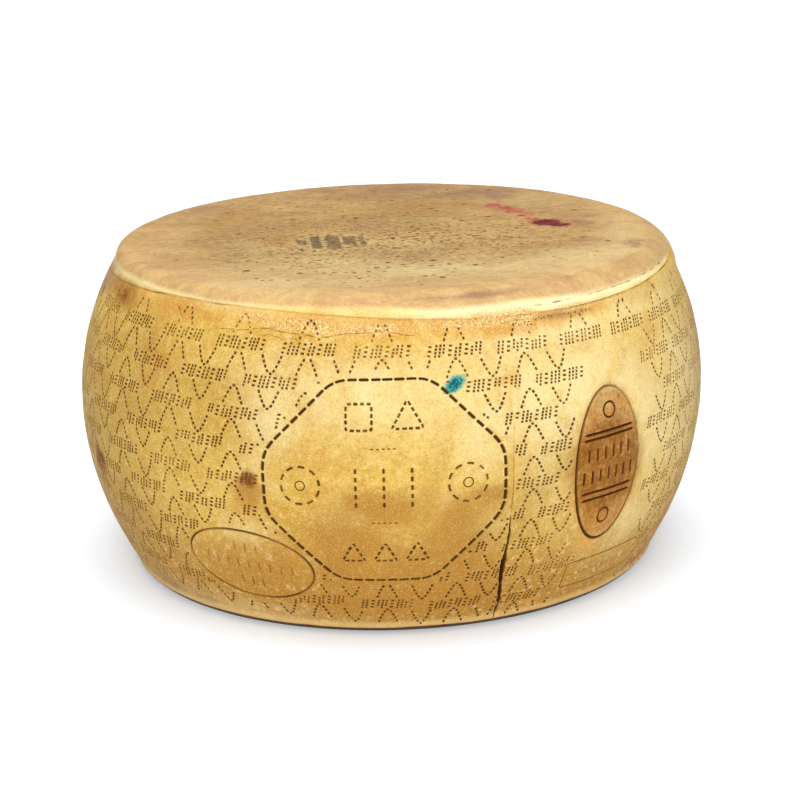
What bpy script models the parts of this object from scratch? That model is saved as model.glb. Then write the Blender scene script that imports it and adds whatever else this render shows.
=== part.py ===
# A wheel of aged hard cheese: one solid body with a bellied side, rounded shoulder and pressed rind marks.
# Metres, +Z up. The origin is the centre of the flat underside, and the marked front faces -Y.
# Angles run round the wheel from the front, positive towards +X.

import math

import bmesh
import bpy
from mathutils import Vector

# Overall form
WHEEL_HEIGHT = 0.217
BELLY_RADIUS = 0.210
BELLY_HEIGHT = 0.115
TOP_RADIUS = 0.1775
BOTTOM_RADIUS = 0.1747
UPPER_CURVE = 2.1
LOWER_CURVE = 2.04
LEAN = 0.0023

# Rounded shoulder under the top, which is wider towards +X, and the rounded foot
SHOULDER_RADIUS = 0.017
SHOULDER_SWING = 0.0087
FOOT_RADIUS = 0.008

# Crease where the lid-like top edge meets the side, and how it wanders up and down round the wheel
CREASE_HEIGHT = 0.2037
CREASE_SWING_TWO = 0.0024
CREASE_SWING_THREE = 0.0020
CREASE_DEPTH = 0.0012
CREASE_REACH = 0.0022
LIP_REACH = 0.0008

# Slow unevenness of the rind
SIDE_WAVE = 0.0003
TOP_DISH = 0.0006

# Mesh counts
SEGMENTS = 96
FOOT_STEPS = 2
SIDE_STEPS = 15
SHOULDER_STEPS = 4
TOP_RINGS = (0.94, 0.78, 0.56, 0.30)

# Octagon panel pressed in dashes at the front
PANEL_ANGLE = math.radians(-1.5)
PANEL_HEIGHT = 0.1065
PANEL_HALF_WIDTH = 0.0745
PANEL_HALF_HEIGHT = 0.0640
PANEL_CUT = 0.044
PANEL_ROUND = 0.010
DASH_PITCH = 0.0082
DASH_LENGTH = 0.0060
DASH_WIDTH = 0.0023
DASH_DEPTH = 0.0012

# Tall dashed strokes, rings and short bars inside the panel
STROKE_WIDTH = 0.0016
STROKE_DEPTH = 0.0009
TALLY_HEIGHT = 0.027
TALLY_SPACING = 0.017
TALLY_DASHES = 5
SIDE_RING_OFFSET = 0.051
SIDE_RING_RADIUS = 0.012
SIDE_RING_DASHES = 10

# Oval plate mark, low at the left
OVAL_ANGLE = math.radians(-27.0)
OVAL_HEIGHT = 0.048
OVAL_HALF_WIDTH = 0.0460
OVAL_HALF_HEIGHT = 0.0240
OVAL_TILT = math.radians(-4.0)
OVAL_STEPS = 40
OVAL_GROOVE = 0.0016

# Upright branded oval at the right, crossed by two pairs of bars
BRAND_ANGLE = math.radians(39.7)
BRAND_HEIGHT = 0.1005
BRAND_HALF_WIDTH = 0.0270
BRAND_HALF_HEIGHT = 0.0500
BRAND_STEPS = 36
BRAND_GROOVE = 0.0020
BRAND_BAR_GROOVE = 0.0016
BRAND_BAR_HEIGHTS = (0.0225, 0.0190, -0.0160, -0.0205)
BRAND_BAR_GAP = 0.0025

# Rectangular plate mark, low at the right
PLATE_ANGLE = math.radians(44.0)
PLATE_HEIGHT = 0.0265
PLATE_HALF_WIDTH = 0.0370
PLATE_HALF_HEIGHT = 0.0095
PLATE_GROOVE = 0.0014

GROOVE_DEPTH = 0.0009

# Crack down the front, hair-thin at its upper end and widest below its middle
CRACK_ANGLE = math.radians(19.8)
CRACK_TOP = 0.0820
CRACK_BOTTOM = 0.0030
CRACK_STEPS = 12
CRACK_WIDTH = 0.0030
CRACK_DEPTH = 0.0055
CRACK_WANDER = 0.0016
CRACK_THIN_SHARE = 0.22
CRACK_CURVE = 1.2

# How far a cutter stands out of the rind
CUTTER_LIFT = 0.0015

RIND_COLOUR = (0.74, 0.50, 0.20, 1.0)
RIND_ROUGHNESS = 0.55


def clear_scene():
    for scene_object in list(bpy.data.objects):
        bpy.data.objects.remove(scene_object, do_unlink=True)


def side_radius(height):
    """Radius of the bellied side, before the shoulder and the foot are rounded."""
    if height > BELLY_HEIGHT:
        share = (height - BELLY_HEIGHT) / (WHEEL_HEIGHT - BELLY_HEIGHT)
        return BELLY_RADIUS - (BELLY_RADIUS - TOP_RADIUS) * share ** UPPER_CURVE
    share = (BELLY_HEIGHT - height) / BELLY_HEIGHT
    return BELLY_RADIUS - (BELLY_RADIUS - BOTTOM_RADIUS) * share ** LOWER_CURVE


def shoulder_radius(angle):
    return SHOULDER_RADIUS + SHOULDER_SWING * math.sin(angle)


def crease_height(angle):
    swing = CREASE_SWING_TWO * math.sin(2 * angle) + CREASE_SWING_THREE * math.sin(3 * angle)
    return CREASE_HEIGHT - swing


def rind_radius(height, angle):
    """Radius of the rind at a height, with the shoulder and the foot rounded."""
    rounding = shoulder_radius(angle)
    shoulder = WHEEL_HEIGHT - rounding
    if height > shoulder:
        rise = min((height - shoulder) / rounding, 1.0)
        return side_radius(shoulder) - rounding * (1.0 - math.sqrt(1.0 - rise * rise))
    if height < FOOT_RADIUS:
        drop = (FOOT_RADIUS - height) / FOOT_RADIUS
        return side_radius(FOOT_RADIUS) - FOOT_RADIUS * (1.0 - math.sqrt(1.0 - drop * drop))
    return side_radius(height)


def side_wave(height, angle):
    share = height / WHEEL_HEIGHT
    wave = math.sin(3 * angle + 1.0 + 2.0 * share) + 0.7 * math.sin(7 * angle - 4.0 * share)
    return SIDE_WAVE * wave * math.sin(math.pi * min(max(share, 0.0), 1.0))


def place(radius, height, angle):
    """Point of the wheel, which leans slightly towards +X."""
    reach = radius + side_wave(height, angle)
    lean = LEAN * (height / WHEEL_HEIGHT - 0.5)
    return Vector((reach * math.sin(angle) + lean, -reach * math.cos(angle), height))


def section(angle):
    """Radius and height along one upright section, from the flat underside to the flat top."""
    points = []
    for step in range(FOOT_STEPS + 1):
        turn = 0.5 * math.pi * step / FOOT_STEPS
        height = FOOT_RADIUS * (1.0 - math.cos(turn))
        radius = side_radius(FOOT_RADIUS) - FOOT_RADIUS * (1.0 - math.sin(turn))
        points.append((radius, height))
    crease = crease_height(angle)
    side_end = crease - CREASE_REACH
    for step in range(1, SIDE_STEPS + 1):
        height = FOOT_RADIUS + (side_end - FOOT_RADIUS) * step / SIDE_STEPS
        points.append((rind_radius(height, angle), height))
    points.append((rind_radius(crease, angle) - CREASE_DEPTH, crease))
    lip = crease + LIP_REACH
    points.append((rind_radius(lip, angle), lip))
    rounding = shoulder_radius(angle)
    shoulder = WHEEL_HEIGHT - rounding
    first_turn = math.asin(min(max((lip - shoulder) / rounding, 0.0), 1.0))
    for step in range(1, SHOULDER_STEPS + 1):
        turn = first_turn + (0.5 * math.pi - first_turn) * step / SHOULDER_STEPS
        radius = side_radius(shoulder) - rounding * (1.0 - math.cos(turn))
        points.append((radius, shoulder + rounding * math.sin(turn)))
    return points


def top_dish(share, angle):
    """Depth of the shallow hollows in the top, zero at its rim."""
    hollow = 0.6 + 0.4 * math.sin(2 * angle + 0.8) * math.sin(3.0 * share)
    return TOP_DISH * hollow * (1.0 - share * share)


def body_mesh():
    bm = bmesh.new()
    rings = None
    for segment in range(SEGMENTS):
        angle = 2.0 * math.pi * segment / SEGMENTS
        points = [place(radius, height, angle) for radius, height in section(angle)]
        rim = points[-1]
        centre = Vector((0.5 * LEAN, 0.0, WHEEL_HEIGHT))
        for share in TOP_RINGS:
            spot = centre.lerp(rim, share)
            spot.z = WHEEL_HEIGHT - top_dish(share, angle)
            points.append(spot)
        if rings is None:
            rings = [[] for _ in points]
        for ring, point in zip(rings, points):
            ring.append(bm.verts.new(point))
    for lower, upper in zip(rings, rings[1:]):
        for here in range(SEGMENTS):
            after = (here + 1) % SEGMENTS
            bm.faces.new((lower[here], lower[after], upper[after], upper[here]))
    bm.faces.new(list(reversed(rings[0])))
    bm.faces.new(rings[-1])
    bmesh.ops.triangulate(bm, faces=[face for face in bm.faces if len(face.verts) > 4])
    bmesh.ops.recalc_face_normals(bm, faces=bm.faces)
    mesh = bpy.data.meshes.new("wheel")
    bm.to_mesh(mesh)
    bm.free()
    return mesh


def on_rind(angle, height, lift):
    """Point at a distance above the rind, measured square to it."""
    step = 0.001
    slope = (rind_radius(height + step, angle) - rind_radius(height - step, angle)) / (2.0 * step)
    length = math.hypot(1.0, slope)
    reach = rind_radius(height, angle) + lift / length
    return place(reach, height - lift * slope / length, angle)


def wrap(flat, angle, height):
    """Angle and height of a flat drawing's point, with the drawing laid on the side at a place."""
    return (angle + flat[0] / BELLY_RADIUS, height + flat[1])


def add_groove(bm, path, widths, depths, closed=False):
    """Wedge along a path of flat points, pointing into the rind, added as one closed cutter."""
    flat_points, angle, height = path
    count = len(flat_points)
    rows = []
    for index, point in enumerate(flat_points):
        if closed:
            before = flat_points[index - 1]
            after = flat_points[(index + 1) % count]
        else:
            before = flat_points[max(index - 1, 0)]
            after = flat_points[min(index + 1, count - 1)]
        run = Vector((after[0] - before[0], after[1] - before[1])).normalized()
        across = Vector((-run.y, run.x))
        half = 0.5 * widths[index] * (1.0 + CUTTER_LIFT / depths[index])
        keel_shift = Vector((0.0, 0.0))
        if not closed and index == 0:
            keel_shift = run * 0.5 * depths[index]
        if not closed and index == count - 1:
            keel_shift = run * -0.5 * depths[index]
        corners = (
            (across * half, CUTTER_LIFT),
            (across * -half, CUTTER_LIFT),
            (keel_shift, -depths[index]),
        )
        row = []
        for offset, lift in corners:
            spot = wrap(Vector(point) + offset, angle, height)
            row.append(bm.verts.new(on_rind(*spot, lift)))
        rows.append(row)
    pairs = list(zip(rows, rows[1:]))
    if closed:
        pairs.append((rows[-1], rows[0]))
    for here, after in pairs:
        for side in range(3):
            other = (side + 1) % 3
            bm.faces.new((here[side], here[other], after[other], after[side]))
    if not closed:
        bm.faces.new(rows[0])
        bm.faces.new(rows[-1])


def add_even_groove(bm, points, place_at, width, depth, closed=False):
    count = len(points)
    add_groove(bm, (points, *place_at), [width] * count, [depth] * count, closed)


def cutter_object(bm, name, cutters):
    bmesh.ops.recalc_face_normals(bm, faces=bm.faces)
    mesh = bpy.data.meshes.new(name)
    bm.to_mesh(mesh)
    bm.free()
    cutter = bpy.data.objects.new(name, mesh)
    cutters.objects.link(cutter)


def ellipse(half_width, half_height, steps, tilt=0.0, centre=(0.0, 0.0)):
    points = []
    for step in range(steps):
        turn = 2.0 * math.pi * step / steps
        across = half_width * math.cos(turn)
        up = half_height * math.sin(turn)
        x = across * math.cos(tilt) - up * math.sin(tilt)
        y = across * math.sin(tilt) + up * math.cos(tilt)
        points.append((centre[0] + x, centre[1] + y))
    return points


def octagon_corners():
    width = PANEL_HALF_WIDTH
    height = PANEL_HALF_HEIGHT
    cut = PANEL_CUT
    half = [
        (width, -(height - cut)),
        (width, height - cut),
        (width - cut, height),
        (-(width - cut), height),
    ]
    return half + [(-x, -y) for x, y in half]


def rounded_outline(corners, radius, arc_steps=4):
    """Closed outline through the corners, each one rounded by a quadratic curve."""
    outline = []
    count = len(corners)
    for index in range(count):
        corner = Vector(corners[index])
        start = corner + (Vector(corners[index - 1]) - corner).normalized() * radius
        end = corner + (Vector(corners[(index + 1) % count]) - corner).normalized() * radius
        for step in range(arc_steps + 1):
            share = step / arc_steps
            outline.append(start.lerp(corner, share).lerp(corner.lerp(end, share), share))
    return outline


def along(outline, distance):
    """Point at a distance along a closed outline."""
    count = len(outline)
    for index in range(count):
        here = outline[index]
        after = outline[(index + 1) % count]
        length = (after - here).length
        if distance <= length:
            return here.lerp(after, distance / length)
        distance -= length
    return outline[0]


def outline_length(outline):
    return sum((point - outline[index - 1]).length for index, point in enumerate(outline))


def add_dashes(bm, outline, place_at, pitch, length, width, depth):
    """Short wedges spaced along a closed outline."""
    total = outline_length(outline)
    count = round(total / pitch)
    for dash in range(count):
        start = total * dash / count
        points = [along(outline, start + share * length) for share in (0.0, 0.5, 1.0)]
        add_even_groove(bm, points, place_at, width, depth)


def panel_cutter(cutters):
    bm = bmesh.new()
    place_at = (PANEL_ANGLE, PANEL_HEIGHT)
    outline = rounded_outline(octagon_corners(), PANEL_ROUND)
    add_dashes(bm, outline, place_at, DASH_PITCH, DASH_LENGTH, DASH_WIDTH, DASH_DEPTH)
    cutter_object(bm, "panel_cutter", cutters)


def panel_marks_cutter(cutters):
    bm = bmesh.new()
    place_at = (PANEL_ANGLE, PANEL_HEIGHT)
    dash_pitch = TALLY_HEIGHT / TALLY_DASHES
    for stroke in (-1, 0, 1):
        across = stroke * TALLY_SPACING
        for dash in range(TALLY_DASHES):
            low = -0.5 * TALLY_HEIGHT + dash_pitch * dash
            points = [(across, low), (across, low + 0.7 * dash_pitch)]
            add_even_groove(bm, points, place_at, STROKE_WIDTH, STROKE_DEPTH)
    for side in (-1, 1):
        centre = (side * SIDE_RING_OFFSET, 0.0)
        ring = ellipse(SIDE_RING_RADIUS, SIDE_RING_RADIUS, 4 * SIDE_RING_DASHES, centre=centre)
        outline = [Vector(point) for point in ring]
        pitch = outline_length(outline) / SIDE_RING_DASHES
        add_dashes(bm, outline, place_at, pitch, 0.65 * pitch, STROKE_WIDTH, STROKE_DEPTH)
    cutter_object(bm, "panel_marks_cutter", cutters)


def oval_cutter(cutters):
    bm = bmesh.new()
    points = ellipse(OVAL_HALF_WIDTH, OVAL_HALF_HEIGHT, OVAL_STEPS, OVAL_TILT)
    add_even_groove(bm, points, (OVAL_ANGLE, OVAL_HEIGHT), OVAL_GROOVE, GROOVE_DEPTH, closed=True)
    cutter_object(bm, "oval_cutter", cutters)


def brand_cutter(cutters):
    bm = bmesh.new()
    place_at = (BRAND_ANGLE, BRAND_HEIGHT)
    rim = ellipse(BRAND_HALF_WIDTH, BRAND_HALF_HEIGHT, BRAND_STEPS)
    add_even_groove(bm, rim, place_at, BRAND_GROOVE, DASH_DEPTH, closed=True)
    for up in BRAND_BAR_HEIGHTS:
        half = BRAND_HALF_WIDTH * math.sqrt(1.0 - (up / BRAND_HALF_HEIGHT) ** 2) - BRAND_BAR_GAP
        points = [(-half, up), (0.0, up), (half, up)]
        add_even_groove(bm, points, place_at, BRAND_BAR_GROOVE, GROOVE_DEPTH)
    cutter_object(bm, "brand_cutter", cutters)


def plate_cutter(cutters):
    bm = bmesh.new()
    width = PLATE_HALF_WIDTH
    height = PLATE_HALF_HEIGHT
    lower = [(-width, -height), (0.0, -height), (width, -height)]
    points = lower + [(-x, -y) for x, y in lower]
    add_even_groove(bm, points, (PLATE_ANGLE, PLATE_HEIGHT), PLATE_GROOVE, GROOVE_DEPTH, closed=True)
    cutter_object(bm, "plate_cutter", cutters)


def crack_cutter(cutters):
    bm = bmesh.new()
    points = []
    widths = []
    depths = []
    for step in range(CRACK_STEPS + 1):
        share = step / CRACK_STEPS
        wander = CRACK_WANDER * math.sin(9.0 * share + 0.5) * (0.4 + 0.6 * share)
        points.append((wander, CRACK_TOP + (CRACK_BOTTOM - CRACK_TOP) * share))
        swell = math.sin(math.pi * share ** CRACK_CURVE)
        opening = CRACK_THIN_SHARE + (1.0 - CRACK_THIN_SHARE) * swell
        widths.append(CRACK_WIDTH * opening * (1.0 + 0.25 * math.sin(17.0 * share)))
        depths.append(CRACK_DEPTH * opening)
    add_groove(bm, (points, CRACK_ANGLE, 0.0), widths, depths)
    cutter_object(bm, "crack_cutter", cutters)


def press_marks(wheel):
    """Cuts every mark into the body by one Boolean, then removes the cutters."""
    cutters = bpy.data.collections.new("cutters")
    bpy.context.scene.collection.children.link(cutters)
    panel_cutter(cutters)
    panel_marks_cutter(cutters)
    oval_cutter(cutters)
    brand_cutter(cutters)
    plate_cutter(cutters)
    crack_cutter(cutters)
    modifier = wheel.modifiers.new("marks", 'BOOLEAN')
    modifier.operation = 'DIFFERENCE'
    modifier.solver = 'EXACT'
    modifier.operand_type = 'COLLECTION'
    modifier.collection = cutters
    depsgraph = bpy.context.evaluated_depsgraph_get()
    marked = bpy.data.meshes.new_from_object(wheel.evaluated_get(depsgraph))
    wheel.modifiers.clear()
    wheel.data = marked
    for cutter in list(cutters.objects):
        bpy.data.objects.remove(cutter, do_unlink=True)
    bpy.data.collections.remove(cutters)


def rind_material():
    material = bpy.data.materials.new("rind")
    material.use_nodes = True
    shader = material.node_tree.nodes["Principled BSDF"]
    shader.inputs["Base Color"].default_value = RIND_COLOUR
    shader.inputs["Roughness"].default_value = RIND_ROUGHNESS
    shader.inputs["Metallic"].default_value = 0.0
    return material


def build():
    clear_scene()
    wheel = bpy.data.objects.new("wheel", body_mesh())
    bpy.context.scene.collection.objects.link(wheel)
    press_marks(wheel)
    wheel.data.materials.clear()
    wheel.data.materials.append(rind_material())
    wheel.data.shade_smooth()
    wheel.data.set_sharp_from_angle(angle=math.radians(35.0))


build()
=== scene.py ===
import math
import random

import bpy
import numpy as np
from mathutils import Matrix, Vector, noise
from mathutils.geometry import delaunay_2d_cdt
from mathutils.kdtree import KDTree


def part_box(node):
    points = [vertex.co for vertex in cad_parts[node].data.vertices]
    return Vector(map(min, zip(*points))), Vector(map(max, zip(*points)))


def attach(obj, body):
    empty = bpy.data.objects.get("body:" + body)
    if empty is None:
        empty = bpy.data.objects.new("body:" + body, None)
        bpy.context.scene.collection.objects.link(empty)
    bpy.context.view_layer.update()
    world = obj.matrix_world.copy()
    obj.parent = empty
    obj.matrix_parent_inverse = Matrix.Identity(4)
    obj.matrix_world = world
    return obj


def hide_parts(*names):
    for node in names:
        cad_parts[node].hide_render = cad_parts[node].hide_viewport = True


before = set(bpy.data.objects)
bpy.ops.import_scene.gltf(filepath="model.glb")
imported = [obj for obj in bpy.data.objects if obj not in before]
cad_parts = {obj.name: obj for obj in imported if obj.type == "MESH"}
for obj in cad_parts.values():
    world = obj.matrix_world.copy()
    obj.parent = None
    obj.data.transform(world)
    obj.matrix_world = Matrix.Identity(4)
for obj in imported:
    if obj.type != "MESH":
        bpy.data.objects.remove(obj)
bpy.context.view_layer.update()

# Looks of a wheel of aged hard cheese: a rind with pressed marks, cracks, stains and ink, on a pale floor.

# Form, with the solid's driving dimensions, in metres. Angles run from the front, positive towards +X.
WHEEL_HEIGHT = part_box("wheel")[1].z
BELLY_RADIUS = 0.210
BELLY_HEIGHT = 0.115
TOP_RADIUS = 0.1775
BOTTOM_RADIUS = 0.1747
UPPER_CURVE = 2.1
LOWER_CURVE = 2.04
LEAN = 0.0023
SHOULDER_RADIUS = 0.017
SHOULDER_SWING = 0.0087
FOOT_RADIUS = 0.008
CREASE_HEIGHT = 0.2037
CREASE_SWING_TWO = 0.0024
CREASE_SWING_THREE = 0.0020
CREASE_DEPTH = 0.0012
CREASE_REACH = 0.0022
LIP_REACH = 0.0008
SIDE_WAVE = 0.0003
TOP_DISH = 0.0006
DISH_FADE = 0.08
DISH_DROP = 0.0003

# The side unrolled into a flat sheet: foot, side and shoulder lengths up the sheet
GIRTH = 2.0 * math.pi * BELLY_RADIUS
FOOT_LENGTH = 0.5 * math.pi * FOOT_RADIUS
SIDE_LENGTH = 0.2025
SHOULDER_LENGTH = 0.5 * math.pi * SHOULDER_RADIUS
SHEET_HEIGHT = FOOT_LENGTH + SIDE_LENGTH + SHOULDER_LENGTH

# Mesh spacing
COLUMNS = 240
SEAM_ROWS = 56
SIDE_STEP = 0.0060
SIDE_JITTER = 0.0009
SHOULDER_ROWS = 7
FOOT_ROWS = 3
DISC_STEP = 0.0066
DISC_JITTER = 0.0012
UNDERSIDE_STEP = 0.009
CLEARANCE = 0.0017
DISC_CLEARANCE = 0.0013
CLAIM_CELL = 0.004
SHARP_ANGLE = math.radians(38.0)
MAP_GAP = 0.008

# Lumps and hollows of the rind: height, fineness
RELIEF = ((0.00032, 22.0), (0.00020, 65.0), (0.00010, 170.0))

# Rows of groups of bars and short stacks, with bands of dashed arches between the rows
GROUPS_ROUND = 28
ROWS = 9
TOP_ROW_HEIGHT = 0.1857
ROW_STEP = 0.0203
ROW_PHASE = math.radians(-1.5)
ROW_WARP = math.radians(4.2)
ROW_TILT_TOP = 0.0050
ROW_TILT_GAIN = 0.0008
GROUP_KINDS = ("|| = ||| = ||| =", "= ||| = || = |||")
GROUP_WIDTHS = {"|": 0.0027, "=": 0.0033, " ": 0.0010}
GROUP_SHIFT = 0.0002
BAR_DOTS = 4
BAR_DOT_PITCH = 0.00188
STACK_DASHES = 3
STACK_DASH_PITCH = 0.0025
DOT_HALF = (0.00094, 0.00088)
STACK_DASH_HALF = (0.00138, 0.00080)
SHORT_BARS = 0.35
BAR_SLANT = math.tan(math.radians(14.0))
ARCH_HALF_WIDTH = 0.0070
ARCH_HEIGHT = 0.0110
ARCH_ROUNDING = 0.0036
ARCH_STEPS = 40
ARCH_DASHES = 9
ARCH_DASH_HALF = (0.00128, 0.00098)
MARK_DEPTH = 0.0007
# The darkness of a mark is painted shade in its hollow
MARK_DARKNESS = 1.4
MARK_CLOSENESS = 0.9
MARK_MARGIN = 0.0042
LOWEST_MARK = 0.006
CREASE_MARGIN = 0.0035

# Where the small marks are fainter: angle, its spread, height, its spread, share lost
FAINT_PLACE = (0.02, 0.22, 0.180, 0.016, 0.28)

# Heights between which the small marks become worn, share lost
WORN_TOP = (0.188, 0.194, 0.30)

# Part of the side towards +X that has no rows under the topmost one: its angles and its upper end
BARE_FROM = math.radians(33.0)
BARE_TO = math.radians(50.0)
BARE_TOP = 0.1765

# Large marks at the front, where the solid has them. A spot is an angle and a height, a half is a half
# width and a half height, a line is a half width and a depth, and a stroke is a length, a width, a depth
# and the share of its length that each end takes.
PANEL_SPOT = (math.radians(-1.5), 0.1065)
PANEL_HALF = (0.0745, 0.0640)
PANEL_CUT = 0.044
PANEL_ROUND = 0.010
DASH_PITCH = 0.0074
DASH_LENGTH = 0.0067
DASH_WIDTH = 0.0027
DASH_DEPTH = 0.0013
DASH_SHARES = (0.0, 0.12, 0.5, 0.88, 1.0)
FLAT_DASH_LENGTH = 0.0069
FLAT_DASH_WIDTH = 0.0020
STROKE_WIDTH = 0.0023
STROKE_DEPTH = 0.0009
STROKE_PITCH = 0.0041
STROKE_LENGTH = 0.0030
TALLY_SPACING = 0.017
TALLY_DASHES = 5
TALLY_PITCH = 0.027 / TALLY_DASHES
TALLY_LENGTH = 0.7 * TALLY_PITCH
TALLY_STROKE = (TALLY_LENGTH, STROKE_WIDTH, STROKE_DEPTH, 0.2)
SIDE_RING_OFFSET = 0.051
SIDE_RING_RADIUS = 0.012
SIDE_RING_DASHES = 10
SMALL_RING_RADIUS = 0.0030
SMALL_RING_LINE = (0.0006, 0.0006)
PANEL_PIN_HEIGHT = 0.0235
OVAL_SPOT = (math.radians(-27.0), 0.048)
OVAL_HALF = (0.0460, 0.0240)
OVAL_TILT = math.radians(-4.0)
OVAL_LINE = (0.0011, 0.0010)
OVAL_STEPS = 90
OVAL_STROKE = (0.0068, 0.0017, 0.0006, 0.15)
OVAL_STROKE_PITCH = 0.0078
OVAL_ROWS = ((0.0125, 3), (0.0, 9), (-0.0125, 3))
SCORCH_SPOT = (math.radians(39.7), 0.1005)
SCORCH_HALF = (0.0270, 0.0500)
SCORCH_LINE = (0.0014, 0.0012)
SCORCH_STEPS = 96
SCORCH_BAR_LINE = (0.0012, 0.0012)
SCORCH_BAR_HEIGHTS = (0.0225, 0.0190, -0.0160, -0.0205)
SCORCH_BAR_GAP = 0.0025
SCORCH_BAR_STEPS = 16
SCORCH_STROKE = (0.0096, 0.0025, 0.0010, 0.12)
SCORCH_STROKE_PITCH = 0.0068
SCORCH_ROWS = ((0.0088, 6), (-0.0055, 7))
SCORCH_RING_RADIUS = 0.0048
SCORCH_RING_LINE = (0.0010, 0.0009)
SCORCH_RING_HEIGHTS = (0.0355, -0.0340)
PLATE_SPOT = (math.radians(44.0), 0.0265)
PLATE_HALF = (0.0370, 0.0095)
PLATE_ROUND = 0.0022
PLATE_LINE = (0.0006, 0.0007)
PLATE_STEPS = 72

# Figures in the panel: corners, place across and up, half size, darkness
PANEL_FIGURES = (
    (4, (-0.0145, 0.0425), 0.0110, 0.8),
    (3, (0.0150, 0.0410), 0.0112, 0.8),
    (3, (-0.0200, -0.0455), 0.0082, 0.85),
    (3, (0.0, -0.0455), 0.0082, 0.85),
    (3, (0.0200, -0.0455), 0.0082, 0.85),
)

# Pins: count, pitch, half length, half width, direction, depth, darkness
PANEL_PINS = (5, 0.0034, 0.0012, 0.0006, (1.0, 0.0), 0.0006, 0.7)
PLATE_PINS = (11, 0.0058, 0.0011, 0.0008, (0.2, 1.0), 0.0006, 0.55)

# Crack with a hair line above it
CRACK_ANGLE = math.radians(19.8)
CRACK_TOP = 0.0820
CRACK_BOTTOM = 0.0030
CRACK_STEPS = 44
CRACK_WIDTH = 0.0036
CRACK_DEPTH = 0.0055
CRACK_WANDER = 0.0016
CRACK_THIN_SHARE = 0.22
CRACK_CURVE = 1.2
HAIR_STEPS = 19
HAIR_LENGTH = 0.056
HAIR_DRIFT = 0.0020
HAIR_GAP = 0.002
HAIR_DEPTH = 0.0005
FINE_WANDER = 0.0004

# Wrinkles under the top edge: angle in degrees, height, length, slope, ripple, darkness
WRINKLES = (
    (-14.2, 0.1953, 0.137, 0.0, 0.0013, 0.20),
    (-20.0, 0.1925, 0.030, -0.08, 0.0006, 0.13),
    (-43.0, 0.1990, 0.012, -0.7, 0.0003, 0.45),
    (118.0, 0.1930, 0.090, 0.04, 0.0013, 0.18),
    (165.0, 0.1900, 0.050, -0.05, 0.0010, 0.18),
    (-150.0, 0.1940, 0.080, 0.03, 0.0012, 0.16),
    (-98.0, 0.1960, 0.050, -0.04, 0.0008, 0.16),
)
WRINKLE_STEP = 0.0028
WRINKLE_DEPTH = 0.0005

# Second line above the crease, where the top edge is doubled towards +X
EDGE_LINE_START = 27.0
EDGE_LINE_END = 73.0
EDGE_LINE_LOW = 0.2040
EDGE_LINE_RISE = 0.0024
EDGE_LINE_STEPS = 64
EDGE_LINE = (0.0006, 0.0004)

# Crumbled rind along the crease: angle in degrees, height, spread in degrees, spread in height, pits
CRUMBLED = (
    (24.8, 0.1968, 1.6, 0.0040, 34),
    (33.5, 0.1972, 6.5, 0.0015, 84),
)

# Lines of the crease: height above it, share of its depth, share of its darkness
CREASE_LINES = (
    (-CREASE_REACH, 0.0, 0.0),
    (-0.0006, 0.72, 0.0),
    (0.0, 1.0, 1.0),
    (0.0004, 0.62, 0.0),
    (LIP_REACH, 0.0, 0.0),
)
CREASE_STEPS = 300
CREASE_WOBBLE = 0.0006

# Where the crease's painted shade is darker: angle in degrees, spread in degrees, darkness
CREASE_DARKER = (
    (-54.0, 4.0, 0.30),
    (-35.0, 3.0, 0.22),
    (47.0, 12.0, 0.22),
    (68.0, 8.0, 0.20),
    (150.0, 20.0, 0.15),
)
CREASE_DARKNESS = 0.15

# Short pits in the top and the underside
TOP_PITS = 1500
UNDERSIDE_PITS = 150
PIT_CORNERS = 6
PIT_DEPTH = 0.0009
PIT_REACH = 0.95

# Level over which the cream edge, with its painted highlight, gives way to the top at the front, and how
# much lower it is towards +X
EDGE_LEVEL = 0.2086
EDGE_SLOPE = 0.0180
EDGE_SOFTNESS = 0.0020
EDGE_WAVE = 0.008
FLAT_LEVEL = 0.2155
TOP_LEVEL = WHEEL_HEIGHT - 0.0006
INK_LEVELS = (0.2140, 0.2155)

# Height up to which the foot turns under and is painted dark as contact shadow and a dark stain, and up to
# which the underside's own tone reaches
UNDERCUT = 0.0041
UNDER_LEVEL = 0.0012

# Finish of the rind
SHEEN = 0.06
BUMP_STRENGTH = 0.6
BUMP_DISTANCE = 0.0006

# Studio. Lights: name, azimuth from the front towards +X, elevation, strength, softness, angles in degrees
WHITE = (1.0, 1.0, 1.0, 1.0)
LIGHTS = (
    ("overhead_light", 0.0, 84.0, 1.95, 46.0),
    ("front_light", 2.0, 22.0, 1.52, 24.0),
)
WORLD_STRENGTH = 0.44
FLOOR_HALF = 9.0
FLOOR_LEVEL = -0.0004
FLOOR_COLOUR = (0.72, 0.78, 0.85, 1.0)
FLOOR_GLOW = 0.29

# Camera fitted to the photograph's view, which is 800 pixels wide
CAMERA_PLACE = (0.0056, -1.4396, 0.5203)
CAMERA_ELEVATION = math.radians(16.32)
CAMERA_ROLL = math.radians(-1.70)
FOCAL_PIXELS = 2183.0
IMAGE_WIDTH = 800.0
SENSOR_WIDTH = 36.0

rng = random.Random(20)


def side_radius(height):
    """Radius of the bellied side, before the shoulder and the foot are rounded."""
    above = np.clip((height - BELLY_HEIGHT) / (WHEEL_HEIGHT - BELLY_HEIGHT), 0.0, None)
    below = np.clip((BELLY_HEIGHT - height) / BELLY_HEIGHT, 0.0, None)
    upper = (BELLY_RADIUS - TOP_RADIUS) * above ** UPPER_CURVE
    lower = (BELLY_RADIUS - BOTTOM_RADIUS) * below ** LOWER_CURVE
    return BELLY_RADIUS - upper - lower


def shoulder_radius(angle):
    return SHOULDER_RADIUS + SHOULDER_SWING * np.sin(angle)


def crease_height(angle):
    return CREASE_HEIGHT - (CREASE_SWING_TWO * np.sin(2 * angle) + CREASE_SWING_THREE * np.sin(3 * angle))


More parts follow.
